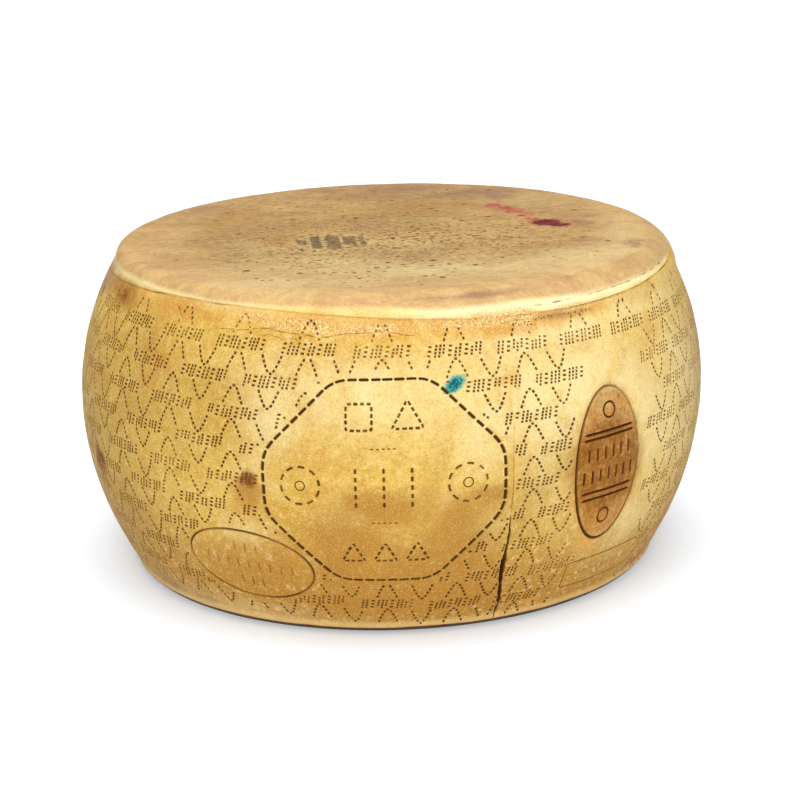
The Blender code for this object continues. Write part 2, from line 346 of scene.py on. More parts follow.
def side_wave(height, angle):
    share = height / WHEEL_HEIGHT
    wave = np.sin(3 * angle + 1.0 + 2.0 * share) + 0.7 * np.sin(7 * angle - 4.0 * share)
    return SIDE_WAVE * wave * np.sin(np.pi * np.clip(share, 0.0, 1.0))


def section_point(angle, up):
    """Radius and height at a length up the sheet."""
    rounding = shoulder_radius(angle)
    shoulder = WHEEL_HEIGHT - rounding
    foot_turn = np.clip(up, 0.0, FOOT_LENGTH) / FOOT_RADIUS
    side_share = np.clip((up - FOOT_LENGTH) / SIDE_LENGTH, 0.0, 1.0)
    top_turn = np.clip((up - FOOT_LENGTH - SIDE_LENGTH) / SHOULDER_LENGTH, 0.0, 1.0) * 0.5 * np.pi
    side_height = FOOT_RADIUS + side_share * (shoulder - FOOT_RADIUS)
    height = side_height - FOOT_RADIUS * np.cos(foot_turn) + rounding * np.sin(top_turn)
    radius = side_radius(side_height)
    radius = radius - FOOT_RADIUS * (1.0 - np.sin(foot_turn)) - rounding * (1.0 - np.cos(top_turn))
    return radius, height


def sheet_up(angle, height):
    """Length up the sheet of a height on the wheel."""
    rounding = shoulder_radius(angle)
    shoulder = WHEEL_HEIGHT - rounding
    foot_turn = np.arccos(np.clip(1.0 - height / FOOT_RADIUS, 0.0, 1.0))
    side_share = np.clip((height - FOOT_RADIUS) / (shoulder - FOOT_RADIUS), 0.0, 1.0)
    top_turn = np.arcsin(np.clip((height - shoulder) / rounding, 0.0, 1.0))
    return foot_turn * FOOT_RADIUS + side_share * SIDE_LENGTH + top_turn / (0.5 * np.pi) * SHOULDER_LENGTH


def place(angle, up):
    """Points of the smooth wheel for arrays of angles and lengths up the sheet."""
    radius, height = section_point(angle, up)
    reach = radius + side_wave(height, angle)
    lean = LEAN * (height / WHEEL_HEIGHT - 0.5)
    return np.stack([reach * np.sin(angle) + lean, -reach * np.cos(angle), height], axis=-1)


def facing(angle, up):
    """Outward directions of the smooth wheel."""
    step = 1e-4
    around = place(angle + step, up) - place(angle - step, up)
    rise = place(angle, up + step) - place(angle, up - step)
    normal = np.cross(around, rise)
    return normal / np.linalg.norm(normal, axis=-1, keepdims=True)


class Sheet:
    """Flat layout of the points of one part of the rind, with each point's depth and darkness."""

    def __init__(self):
        self.points = []
        self.depths = []
        self.darks = []
        self.edges = []
        self.taken = {}

    def add(self, point, depth=0.0, dark=0.0):
        self.points.append((float(point[0]), float(point[1])))
        self.depths.append(depth)
        self.darks.append(dark)
        return len(self.points) - 1

    def join(self, indices, closed=False):
        """Makes the triangles keep the edges between points."""
        self.edges += list(zip(indices, indices[1:]))
        if closed:
            self.edges.append((indices[-1], indices[0]))

    def chain(self, points, closed=False):
        """Adds points at the rind's own level, joined by edges."""
        indices = [self.add(point) for point in points]
        self.join(indices, closed)
        return indices

    def cell(self, point):
        return (int(point[0] // CLAIM_CELL), int(point[1] // CLAIM_CELL))

    def is_free(self, point, radius):
        column, row = self.cell(point)
        for i in (column - 1, column, column + 1):
            for j in (row - 1, row, row + 1):
                for x, y, other in self.taken.get((i, j), ()):
                    if math.hypot(x - point[0], y - point[1]) < radius + other:
                        return False
        return True

    def claim(self, points, radius):
        """Takes round spaces for a mark, and says whether all were free."""
        free = all(self.is_free(point, radius) for point in points)
        if free:
            for point in points:
                self.taken.setdefault(self.cell(point), []).append((point[0], point[1], radius))
        return free

    def fill(self, points, clearance):
        """Adds plain points where they are clear of all that is there."""
        tree = KDTree(len(self.points))
        for index, (x, y) in enumerate(self.points):
            tree.insert((x, y, 0.0), index)
        tree.balance()
        for point in points:
            if tree.find((point[0], point[1], 0.0))[2] > clearance:
                self.add(point)

    def triangulate(self):
        scale = 1000.0
        coordinates = [Vector((x * scale, y * scale)) for x, y in self.points]
        made = delaunay_2d_cdt(coordinates, self.edges, [], 1, 1e-5)
        order = []
        for (x, y), source in zip(made[0], made[3]):
            order.append(source[0] if source else self.add((x / scale, y / scale)))
        return [[order[corner] for corner in face] for face in made[2]]


def wrap(angle, height, flat):
    """Place on the side sheet of a point of a flat drawing that is laid on the side."""
    turned = angle + flat[0] / BELLY_RADIUS
    turned = (turned + math.pi) % (2.0 * math.pi) - math.pi
    return (turned * BELLY_RADIUS, float(sheet_up(turned, height + flat[1])))


def add_pit(sheet, centre, half_length, half_width, direction, depth, dark, closeness=1.0):
    """Four-cornered pit around one deep point."""
    lengthwise = Vector(direction).normalized()
    across = Vector((-lengthwise.y, lengthwise.x))
    middle = Vector(centre)
    if abs(middle.x) > 0.5 * GIRTH - 2.0 * half_length:
        return
    spread = lengthwise * max(half_length - half_width, 0.0) * 1.3
    if not sheet.claim((middle, middle - spread, middle + spread), half_width * closeness):
        return
    corners = []
    for length, width in ((-1, -1), (1, -1), (1, 1), (-1, 1)):
        corners.append(middle + lengthwise * half_length * length + across * half_width * width)
    sheet.chain(corners, closed=True)
    sheet.add(middle, depth, dark)


def each(value, count):
    """A value for every point of a path, from one value or from a list."""
    return value if isinstance(value, list) else [value] * count


def path_ends(points, index, closed):
    """The points before and after a point of a path."""
    if closed:
        return points[index - 1], points[(index + 1) % len(points)]
    return points[max(index - 1, 0)], points[min(index + 1, len(points) - 1)]


def add_groove(sheet, points, half_width, depth, dark, closed=False, claimed=True):
    """Groove along a path: two rims at the rind and a deep line between them."""
    count = len(points)
    half_widths, depths, darks = [each(value, count) for value in (half_width, depth, dark)]
    left = []
    right = []
    for index in range(count):
        before, after = path_ends(points, index, closed)
        run = (Vector(after) - Vector(before)).normalized()
        across = Vector((-run.y, run.x)) * half_widths[index]
        left.append(Vector(points[index]) + across)
        right.append(Vector(points[index]) - across)
        if claimed:
            sheet.claim([points[index]], half_widths[index] * 1.2)
    if closed:
        sheet.chain(left, closed=True)
        sheet.chain(right, closed=True)
        inner = range(count)
    else:
        rims = [Vector(points[0]), *left[1:-1], Vector(points[-1]), *right[-2:0:-1]]
        sheet.chain(rims, closed=True)
        inner = range(1, count - 1)
    sheet.join([sheet.add(points[index], depths[index], darks[index]) for index in inner], closed)


def add_line(sheet, spot, points, half_width, depth, dark, closed=False):
    """Groove through flat points that are laid at a spot."""
    add_groove(sheet, [wrap(*spot, point) for point in points], half_width, depth, dark, closed)


def octagon(width, height, cut):
    half = [
        (width, -(height - cut)),
        (width, height - cut),
        (width - cut, height),
        (-(width - cut), height),
    ]
    return half + [(-x, -y) for x, y in half]


def rounded_outline(corners, radius, arc_steps=4):
    """Closed outline through the corners, each one rounded by a quadratic curve."""
    outline = []
    for index in range(len(corners)):
        corner = Vector(corners[index])
        before, after = path_ends(corners, index, True)
        start = corner + (Vector(before) - corner).normalized() * radius
        end = corner + (Vector(after) - corner).normalized() * radius
        for step in range(arc_steps + 1):
            share = step / arc_steps
            outline.append(start.lerp(corner, share).lerp(corner.lerp(end, share), share))
    return outline


def ellipse(half_width, half_height, steps, tilt=0.0, centre=(0.0, 0.0)):
    points = []
    for step in range(steps):
        turn = 2.0 * math.pi * step / steps
        across = half_width * math.cos(turn)
        up = half_height * math.sin(turn)
        x = across * math.cos(tilt) - up * math.sin(tilt)
        y = across * math.sin(tilt) + up * math.cos(tilt)
        points.append(Vector((centre[0] + x, centre[1] + y)))
    return points


def path_length(path, closed=True):
    pairs = list(zip(path, path[1:]))
    if closed:
        pairs.append((path[-1], path[0]))
    return sum((after - here).length for here, after in pairs)


def along(path, distance):
    """Point at a distance along a path, which closes on itself."""
    for index, here in enumerate(path):
        after = path[(index + 1) % len(path)]
        length = (after - here).length
        if distance <= length:
            return here.lerp(after, distance / length)
        distance -= length
    return path[0]


def dash_points(outline, start, reach):
    return [along(outline, start + share * reach) for share in DASH_SHARES]


def add_dashes(sheet, spot, outline, pitch, length, width, depth, dark):
    """Dashes spaced evenly along a closed outline."""
    total = path_length(outline)
    count = round(total / pitch)
    for dash in range(count):
        points = dash_points(outline, total * dash / count, length * rng.uniform(0.86, 1.1))
        strength = rng.uniform(0.75, 1.1)
        half_width = 0.5 * width * rng.uniform(0.85, 1.1)
        add_line(sheet, spot, points, half_width, depth * strength, min(dark * strength, 1.0))


def add_panel_outline(sheet):
    """Octagon in dashes, which are broad up its sides and thin along its top and foot."""
    outline = rounded_outline(octagon(*PANEL_HALF, PANEL_CUT), PANEL_ROUND)
    total = path_length(outline)
    count = round(total / DASH_PITCH)
    for dash in range(count):
        start = total * dash / count
        flat = smooth_share(abs(along(outline, start).y), 0.80 * PANEL_HALF[1], PANEL_HALF[1])
        length = DASH_LENGTH + (FLAT_DASH_LENGTH - DASH_LENGTH) * flat
        width = DASH_WIDTH + (FLAT_DASH_WIDTH - DASH_WIDTH) * flat
        points = dash_points(outline, start, length * rng.uniform(0.94, 1.06))
        half_width = 0.5 * width * rng.uniform(0.9, 1.12)
        add_line(sheet, PANEL_SPOT, points, half_width, DASH_DEPTH, rng.uniform(1.0, 1.4))


def add_figure(sheet, corners, centre, half_size, dark):
    """Regular dashed figure with rounded corners, in the panel."""
    places = []
    for corner in range(corners):
        turn = 2.0 * math.pi * (corner + 0.5) / corners - 0.5 * math.pi
        places.append((centre[0] + half_size * math.cos(turn), centre[1] + half_size * math.sin(turn)))
    outline = rounded_outline(places, 0.12 * half_size, 2)
    add_dashes(sheet, PANEL_SPOT, outline, STROKE_PITCH, STROKE_LENGTH, STROKE_WIDTH, STROKE_DEPTH, dark)


def add_stroke(sheet, spot, across, middle, stroke, dark):
    """Upright dash about a flat point."""
    length, width, depth, end = stroke
    shares = (-0.5, end - 0.5, 0.0, 0.5 - end, 0.5)
    centre = Vector((across, middle))
    points = [centre + Vector((0.0, share * length)) for share in shares]
    add_line(sheet, spot, points, 0.5 * width, depth, dark)


def spaced(count, pitch):
    """Evenly spaced places about zero."""
    return [(mark - 0.5 * (count - 1)) * pitch for mark in range(count)]


def add_pins(sheet, spot, up, count, pitch, *pin):
    for across in spaced(count, pitch):
        add_pit(sheet, wrap(*spot, (across, up)), *pin)


def add_panel(sheet):
    """Octagon in dashes, with plain figures in it."""
    add_panel_outline(sheet)
    for across in (-TALLY_SPACING, 0.0, TALLY_SPACING):
        for up in spaced(TALLY_DASHES, TALLY_PITCH):
            middle = up - 0.5 * (TALLY_PITCH - TALLY_LENGTH)
            add_stroke(sheet, PANEL_SPOT, across, middle, TALLY_STROKE, rng.uniform(0.55, 0.9))
    for across in (-SIDE_RING_OFFSET, SIDE_RING_OFFSET):
        ring = ellipse(SIDE_RING_RADIUS, SIDE_RING_RADIUS, 40, centre=(across, 0.0))
        pitch = path_length(ring) / SIDE_RING_DASHES
        add_dashes(sheet, PANEL_SPOT, ring, pitch, 0.65 * pitch, STROKE_WIDTH, STROKE_DEPTH, 0.7)
        small = ellipse(SMALL_RING_RADIUS, SMALL_RING_RADIUS, 16, centre=(across, 0.0))
        add_line(sheet, PANEL_SPOT, small, *SMALL_RING_LINE, 0.6, closed=True)
    add_pins(sheet, PANEL_SPOT, PANEL_PIN_HEIGHT, *PANEL_PINS)
    add_pins(sheet, PANEL_SPOT, -PANEL_PIN_HEIGHT, *PANEL_PINS)
    for figure in PANEL_FIGURES:
        add_figure(sheet, *figure)


def add_oval(sheet):
    """Solid oval line round rows of small upright bars."""
    outline = ellipse(*OVAL_HALF, OVAL_STEPS, OVAL_TILT)
    darks = [0.55 + 0.2 * math.sin(0.35 * step) for step in range(OVAL_STEPS)]
    add_line(sheet, OVAL_SPOT, outline, *OVAL_LINE, darks, closed=True)
    for up, count in OVAL_ROWS:
        for across in spaced(count, OVAL_STROKE_PITCH):
            middle = up + across * math.tan(OVAL_TILT)
            add_stroke(sheet, OVAL_SPOT, across, middle, OVAL_STROKE, rng.uniform(0.22, 0.42))


def add_scorched_oval(sheet):
    """Upright oval crossed by two pairs of bars, with short strokes and rings."""
    outline = ellipse(*SCORCH_HALF, SCORCH_STEPS)
    turns = [2.0 * math.pi * step / SCORCH_STEPS for step in range(SCORCH_STEPS)]
    darks = [0.66 - 0.44 * math.sin(turn + 0.6) for turn in turns]
    add_line(sheet, SCORCH_SPOT, outline, *SCORCH_LINE, darks, closed=True)
    for up in SCORCH_BAR_HEIGHTS:
        half = SCORCH_HALF[0] * math.sqrt(1.0 - (up / SCORCH_HALF[1]) ** 2) - SCORCH_BAR_GAP
        shares = [2.0 * step / SCORCH_BAR_STEPS - 1.0 for step in range(SCORCH_BAR_STEPS + 1)]
        points = [(share * half, up) for share in shares]
        add_line(sheet, SCORCH_SPOT, points, *SCORCH_BAR_LINE, 1.2)
    for up, count in SCORCH_ROWS:
        for across in spaced(count, SCORCH_STROKE_PITCH):
            add_stroke(sheet, SCORCH_SPOT, across, up, SCORCH_STROKE, rng.uniform(0.8, 1.2))
    for up in SCORCH_RING_HEIGHTS:
        ring = ellipse(SCORCH_RING_RADIUS, SCORCH_RING_RADIUS, 28, centre=(0.0, up))
        add_line(sheet, SCORCH_SPOT, ring, *SCORCH_RING_LINE, 1.0, closed=True)


def add_plate(sheet):
    """Thin rectangle round a row of pins."""
    corners = [(-PLATE_HALF[0], -PLATE_HALF[1]), (PLATE_HALF[0], -PLATE_HALF[1])]
    corners += [(-x, -y) for x, y in corners]
    outline = rounded_outline(corners, PLATE_ROUND, 3)
    total = path_length(outline)
    points = [along(outline, total * step / PLATE_STEPS) for step in range(PLATE_STEPS)]
    add_line(sheet, PLATE_SPOT, points, *PLATE_LINE, 0.6, closed=True)
    add_pins(sheet, PLATE_SPOT, 0.0, *PLATE_PINS)


def add_crack(sheet):
    """Crack that opens towards the foot."""
    points = []
    half_widths = []
    depths = []
    darks = []
    for step in range(CRACK_STEPS + 1):
        share = step / CRACK_STEPS
        wander = CRACK_WANDER * math.sin(9.0 * share + 0.5) * (0.4 + 0.6 * share)
        wander += FINE_WANDER * noise.noise(Vector((share * 14.0, 0.3, 0.0)))
        height = CRACK_TOP + (CRACK_BOTTOM - CRACK_TOP) * share
        points.append(wrap(CRACK_ANGLE, height, (wander, 0.0)))
        swell = math.sin(math.pi * share ** CRACK_CURVE)
        opening = CRACK_THIN_SHARE + (1.0 - CRACK_THIN_SHARE) * swell
        ragged = 1.0 + 0.25 * math.sin(17.0 * share) + 0.6 * noise.noise(Vector((share * 23.0, 5.0, 0.0)))
        half_widths.append(0.5 * CRACK_WIDTH * opening * ragged)
        depths.append(CRACK_DEPTH * opening ** 1.5)
        darks.append(min(0.25 + 4.0 * share, 2.4 * opening))
    add_groove(sheet, points, half_widths, depths, darks)


def add_hair_line(sheet):
    """Hair line that runs up from the crack and fades."""
    points = []
    shares = [step / HAIR_STEPS for step in range(HAIR_STEPS + 1)]
    for share in shares:
        wander = FINE_WANDER * math.sin(7.0 * share) + HAIR_DRIFT * share
        points.append(wrap(CRACK_ANGLE, CRACK_TOP + HAIR_GAP + HAIR_LENGTH * share, (wander + 0.0006, 0.0)))
    widths = [0.0005 - 0.00015 * share for share in shares]
    add_groove(sheet, points, widths, HAIR_DEPTH, [0.30 - 0.22 * share for share in shares])


def add_wrinkles(sheet):
    """Fine wrinkles in the band under the top edge."""
    for degrees, height, length, slope, ripple, dark in WRINKLES:
        count = max(int(length / WRINKLE_STEP), 5)
        points = []
        widths = []
        for step in range(count):
            share = step / (count - 1)
            across = (share - 0.5) * length
            up = slope * across + ripple * math.cos(12.0 * share - 3.2)
            up += FINE_WANDER * math.sin(31.0 * share)
            points.append(wrap(math.radians(degrees), height, (across, up)))
            widths.append(0.0003 + 0.0003 * math.sin(math.pi * share))
        darks = [dark * (1.0 + 0.5 * math.sin(1.7 * step)) for step in range(count)]
        add_groove(sheet, points, widths, WRINKLE_DEPTH, darks, claimed=False)


def add_edge_line(sheet):
    """Thin broken line on the top edge, a little above the crease."""
    points = []
    darks = []
    for step in range(EDGE_LINE_STEPS):
        share = step / (EDGE_LINE_STEPS - 1)
        angle = math.radians(EDGE_LINE_START + (EDGE_LINE_END - EDGE_LINE_START) * share)
        wobble = 0.0003 * noise.noise(Vector((share * 17.0, 1.0, 0.0)))
        points.append(wrap(angle, EDGE_LINE_LOW + EDGE_LINE_RISE * share + wobble, (0.0, 0.0)))
        darks.append(max(0.16 + 0.42 * noise.noise(Vector((share * 21.0, 6.0, 2.0))), 0.0))
    add_groove(sheet, points, *EDGE_LINE, darks)


def add_crumbs(sheet):
    """Small ragged pits where the rind has crumbled under the crease."""
    for degrees, height, spread, spread_up, count in CRUMBLED:
        for _ in range(count):
            angle = math.radians(degrees + spread * rng.uniform(-1.0, 1.0))
            level = height + spread_up * rng.uniform(-1.0, 1.0)
            if level > crease_height(angle) - 0.0006:
                continue
            half = rng.uniform(0.0006, 0.0010)
            heading = rng.uniform(0.0, math.pi)
            direction = (math.cos(heading), math.sin(heading))
            centre = wrap(angle, level, (0.0, 0.0))
            add_pit(sheet, centre, half, 0.7 * half, direction, 0.0006, rng.uniform(0.15, 0.75))


def flat_offset(angle, height, spot):
    """Distances across and up from a spot."""
    turned = (angle - spot[0] + math.pi) % (2.0 * math.pi) - math.pi
    return turned * BELLY_RADIUS, height - spot[1]


def in_box(angle, height, spot, half, margin):
    across, up = flat_offset(angle, height, spot)
    return abs(across) < half[0] + margin and abs(up) < half[1] + margin


def in_large_mark(angle, height):
    """Whether a place lies on the panel, on one of the ovals or on the plate."""
    across, up = flat_offset(angle, height, PANEL_SPOT)
    diagonal = sum(PANEL_HALF) - PANEL_CUT + 1.4 * MARK_MARGIN
    if in_box(angle, height, PANEL_SPOT, PANEL_HALF, MARK_MARGIN) and abs(across) + abs(up) < diagonal:
        return True
    for spot, half in ((OVAL_SPOT, OVAL_HALF), (SCORCH_SPOT, SCORCH_HALF)):
        across, up = flat_offset(angle, height, spot)
        if math.hypot(across / (half[0] + MARK_MARGIN), up / (half[1] + MARK_MARGIN)) < 1.0:
            return True
    return in_box(angle, height, PLATE_SPOT, PLATE_HALF, 0.5 * MARK_MARGIN)


def on_open_side(angle, height):
    """Whether a small mark may be pressed here."""
    if height > crease_height(angle) - CREASE_MARGIN or height < LOWEST_MARK:
        return False
    return not in_large_mark(angle, height)


def row_height(row, angle):
    tilt = (ROW_TILT_TOP + ROW_TILT_GAIN * row) * math.sin(angle)
    return TOP_ROW_HEIGHT - row * ROW_STEP - tilt


def mark_strength(angle, height):
    """How hard the mould pressed here, which changes slowly over the side."""
    spot = Vector((math.sin(angle), math.cos(angle), height * 8.0))
    strength = 0.88 + 0.45 * noise.noise(spot * 3.1) + 0.3 * noise.noise(spot * 9.0)
    middle, spread, level, spread_up, fainter = FAINT_PLACE
    faint = math.exp(-((angle - middle) / spread) ** 2 - ((height - level) / spread_up) ** 2)
    low, high, lost = WORN_TOP
    worn = smooth_share(height, low, high)
    return float(strength * (1.0 - fainter * faint) * (1.0 - lost * worn))


def add_small_mark(sheet, angle, height, flat, direction, half):
    turned = angle + flat[0] / BELLY_RADIUS
    if not on_open_side(turned, height + flat[1]):
        return
    strength = mark_strength(turned, height + flat[1]) * rng.uniform(0.75, 1.15)
    strength = min(max(strength, 0.15), 1.0)
    size = rng.uniform(0.90, 1.06)
    sizes = (half[0] * size, half[1] * size)
    centre = wrap(angle, height, flat)
    depth = MARK_DEPTH * strength
    add_pit(sheet, centre, *sizes, direction, depth, MARK_DARKNESS * strength, MARK_CLOSENESS)


def add_bar(sheet, angle, height, across):
    """Slanted row of dots, now and then without its first or its last dot."""
    ups = spaced(BAR_DOTS, BAR_DOT_PITCH)
    if rng.random() < SHORT_BARS:
        ups.pop(rng.choice((0, -1)))
    for up in ups:
        add_small_mark(sheet, angle, height, (across + up * BAR_SLANT, up), (BAR_SLANT, 1.0), DOT_HALF)


def add_stack(sheet, angle, height, across):
    """Short level dashes one above the other."""
    for up in spaced(STACK_DASHES, STACK_DASH_PITCH):
        add_small_mark(sheet, angle, height, (across + up * BAR_SLANT, up), (1.0, 0.0), STACK_DASH_HALF)


def add_group(sheet, angle, height, kind):
    """Row of slanted bars and of stacks, as the kind's signs say."""
    start = -0.5 * sum(GROUP_WIDTHS[mark] for mark in kind)
    for mark in kind:
        across = start + 0.5 * GROUP_WIDTHS[mark] + rng.uniform(-GROUP_SHIFT, GROUP_SHIFT)
        start += GROUP_WIDTHS[mark]
        if mark == "|":
            add_bar(sheet, angle, height, across)
        elif mark == "=":
            add_stack(sheet, angle, height, across)


def arch_path(upright):
    """Open arch as a path of flat points about its middle."""
    points = []
    edge = math.hypot(ARCH_HALF_WIDTH, ARCH_ROUNDING) - ARCH_ROUNDING
    for step in range(ARCH_STEPS + 1):
        across = ARCH_HALF_WIDTH * (2.0 * step / ARCH_STEPS - 1.0)
        drop = (math.hypot(across, ARCH_ROUNDING) - ARCH_ROUNDING) / edge
        up = ARCH_HEIGHT * (0.5 - drop)
        points.append(Vector((across, up if upright else -up)))
    return points


def add_arch(sheet, angle, height, upright):
    """Arch in dashes."""
    path = arch_path(upright)
    total = path_length(path, closed=False)
    for dash in range(ARCH_DASHES):
        reach = total * (dash + 0.5) / ARCH_DASHES
        here = along(path, reach)
        direction = along(path, reach + 0.0004) - here
        add_small_mark(sheet, angle, height, here, direction, ARCH_DASH_HALF)


def group_angle(group):
    """Angle of the middle of a group, counted from the back. They stand a little closer towards +X."""
    angle = 2.0 * math.pi * group / GROUPS_ROUND - math.pi + ROW_PHASE
    return angle - ROW_WARP * (1.0 - math.cos(angle))


def in_bare_part(angle, height):
    return BARE_FROM < angle < BARE_TO and height < BARE_TOP


def add_rows(sheet):
    for row in range(ROWS):
        for group in range(GROUPS_ROUND):
            angle = group_angle(group + 0.5 * (row % 2))
            height = row_height(row, angle)
            if not in_bare_part(angle, height):
                add_group(sheet, angle, height, GROUP_KINDS[group % 2])
    for band in range(ROWS + 1):
        for group in range(GROUPS_ROUND):
            for half in ((0,) if band == 0 else (0, 1)):
                angle = group_angle(group + 0.5 * half)
                height = row_height(band, angle) + 0.5 * ROW_STEP
                if not in_bare_part(angle, height):
                    add_arch(sheet, angle, height, half == 0)


def crease_darkness(angle):
    degrees = math.degrees(angle)
    darkness = CREASE_DARKNESS
    for centre, spread, more in CREASE_DARKER:
        darkness += more * math.exp(-(((degrees - centre) / spread) ** 2))
    broken = 0.7 + 1.1 * noise.noise(Vector((angle * 13.0, 8.0, 1.0)))
    return max(darkness * broken, 0.02)


def add_crease(sheet):
    """Crease between the top's edge and the side, as lines that run round the wheel."""
    inner = GIRTH - 0.012
    for rise, deep, dark in CREASE_LINES:
        indices = []
        for step in range(CREASE_STEPS + 1):
            angle = (-0.5 * inner + inner * step / CREASE_STEPS) / BELLY_RADIUS
            wobble = CREASE_WOBBLE * noise.noise(Vector((angle * 9.0, 2.0, 0.0)))
            point = wrap(angle, float(crease_height(angle)) + wobble + rise, (0.0, 0.0))
            strength = 0.60 + 0.6 * noise.noise(Vector((math.sin(angle) * 2.2, math.cos(angle) * 2.2, 4.0)))
            indices.append(sheet.add(point, CREASE_DEPTH * deep * strength, dark * crease_darkness(angle)))
            if rise == 0.0:
                sheet.claim([point], 0.0018)
        sheet.join(indices)


def near_crease(point, margin):
    """Whether a place on the sheet is in the crease's own band."""
    angle = point[0] / BELLY_RADIUS
    level = float(crease_height(angle))
    low = float(sheet_up(angle, level - CREASE_REACH)) - margin
    high = float(sheet_up(angle, level + LIP_REACH)) + margin
    return low < point[1] < high


def hex_points(width, height, step, jitter):
    """Staggered points about the origin, each moved a little at random."""
    points = []
    row_step = step * math.sqrt(0.75)
    for row in range(int(height / row_step) + 1):
        for column in range(int(width / step) + 1):
            x = (column + 0.5 * (row % 2)) * step - 0.5 * width
            y = row * row_step - 0.5 * height
            points.append((x + rng.uniform(-jitter, jitter), y + rng.uniform(-jitter, jitter)))
    return points


def plain_side_points():
    """Places of the side's plain points: rounds of the foot and the shoulder, and a staggered field."""
    rounds = [FOOT_LENGTH * row / FOOT_ROWS for row in range(1, FOOT_ROWS + 1)]
    rounds += [SHEET_HEIGHT - SHOULDER_LENGTH * (row + 0.8) / SHOULDER_ROWS for row in range(SHOULDER_ROWS)]
    inner = GIRTH - 2.0 * SIDE_STEP
    plain = []
    for rise in rounds:
        for step in range(COLUMNS):
            plain.append((-0.5 * inner + inner * step / (COLUMNS - 1), rise))
    middle = FOOT_LENGTH + 0.5 * SIDE_LENGTH
    plain += [(x, y + middle) for x, y in hex_points(inner, SIDE_LENGTH, SIDE_STEP, SIDE_JITTER)]
    edge = 0.5 * GIRTH - 0.002
    return [point for point in plain if not near_crease(point, 0.0007) and abs(point[0]) < edge]


def side_sheet():
    """Layout of the side, from the underside's rim to the top's rim, with its seam at the back."""
    sheet = Sheet()
    half = 0.5 * GIRTH
    bottom = [(-half + GIRTH * step / COLUMNS, 0.0) for step in range(COLUMNS + 1)]
    rises = np.linspace(0.0, SHEET_HEIGHT, SEAM_ROWS)[1:-1]
    lower = sheet.chain(bottom)
    upper = sheet.chain([(x, SHEET_HEIGHT) for x, _ in bottom])
    left_side, right_side = [sheet.chain([(x, float(rise)) for rise in rises]) for x in (-half, half)]
    for end, seam in ((0, left_side), (-1, right_side)):
        sheet.edges += [(lower[end], seam[0]), (seam[-1], upper[end])]
    for add in (
        add_crack,
        add_hair_line,
        add_panel,
        add_oval,
        add_scorched_oval,
        add_plate,
        add_crease,
        add_edge_line,
        add_crumbs,
        add_rows,
        add_wrinkles,
    ):
        add(sheet)
    sheet.fill(plain_side_points(), CLEARANCE)
    pairs = list(zip(right_side, left_side)) + [(lower[-1], lower[0]), (upper[-1], upper[0])]
    return sheet, lower[:-1], upper[:-1], dict(pairs)


def add_flake(sheet, middle, half_length, half_width, heading, depth, dark):
    """Ragged pit with a deep point in it."""
    direction = Vector((math.cos(heading), math.sin(heading)))
    across = Vector((-direction.y, direction.x))
    ring = []
    for corner in range(PIT_CORNERS):
        turn = 2.0 * math.pi * (corner + rng.uniform(-0.25, 0.25)) / PIT_CORNERS
        ragged = rng.uniform(0.6, 1.1)
        offset = direction * half_length * math.cos(turn) + across * half_width * math.sin(turn)
        ring.append(middle + offset * ragged)
    sheet.chain(ring, closed=True)
    sheet.add(middle + direction * half_length * rng.uniform(-0.2, 0.2), depth, dark)


def disc_sheet(rim, step, pits, crowding):
    """Layout of the top or the underside: the rim's points, pits, and plain points."""
    sheet = Sheet()
    indices = sheet.chain(rim, closed=True)
    reach = min(math.hypot(x, y) for x, y in rim)
    made = 0
    while made < pits:
        turn = rng.uniform(0.0, 2.0 * math.pi)
        share = PIT_REACH * math.sqrt(rng.random())
        x = share * math.cos(turn)
        y = share * math.sin(turn)
        if rng.random() > crowding(x, y):
            continue
        made += 1
        half_length = 0.0012 + 0.0026 * rng.random() ** 2.0
        half_width = half_length * rng.uniform(0.55, 0.95)
        middle = Vector((x, y)) * reach
        if sheet.claim([middle], half_length * 1.15):
            dark = rng.uniform(0.30, 1.0)
            heading = rng.uniform(-0.9, 0.9)
            add_flake(sheet, middle, half_length, half_width, heading, PIT_DEPTH * dark, dark)
    plain = hex_points(2.0 * reach, 2.0 * reach, step, DISC_JITTER)
    sheet.fill([(x, y) for x, y in plain if math.hypot(x, y) < reach - 0.4 * step], DISC_CLEARANCE)
    return sheet, indices


def relief(points):
    """Lumps and hollows of the rind, in metres, for an array of points."""
    heights = []
    for point in points:
        spot = Vector(point)
        heights.append(sum(high * noise.noise(spot * fine) for high, fine in RELIEF))
    return np.array(heights)


def top_crowding(x, y):
    """Share of pits kept, most of them about the middle and left of it."""
    zone = math.exp(-(((x + 0.11) / 0.35) ** 2 + ((y + 0.16) / 0.60) ** 2))
    right = math.exp(-(((x - 0.35) / 0.30) ** 2 + ((y + 0.10) / 0.40) ** 2))
    return min(0.03 + 0.97 * zone + 0.3 * right, 1.0)


def even_crowding(x, y):
    return 0.8 - 0.5 * math.hypot(x, y)


def soft_spot(x, y, spread_x, spread_y):
    """Weight of a round-edged patch."""
    return np.exp(-((x / spread_x) ** 2 + (y / spread_y) ** 2))


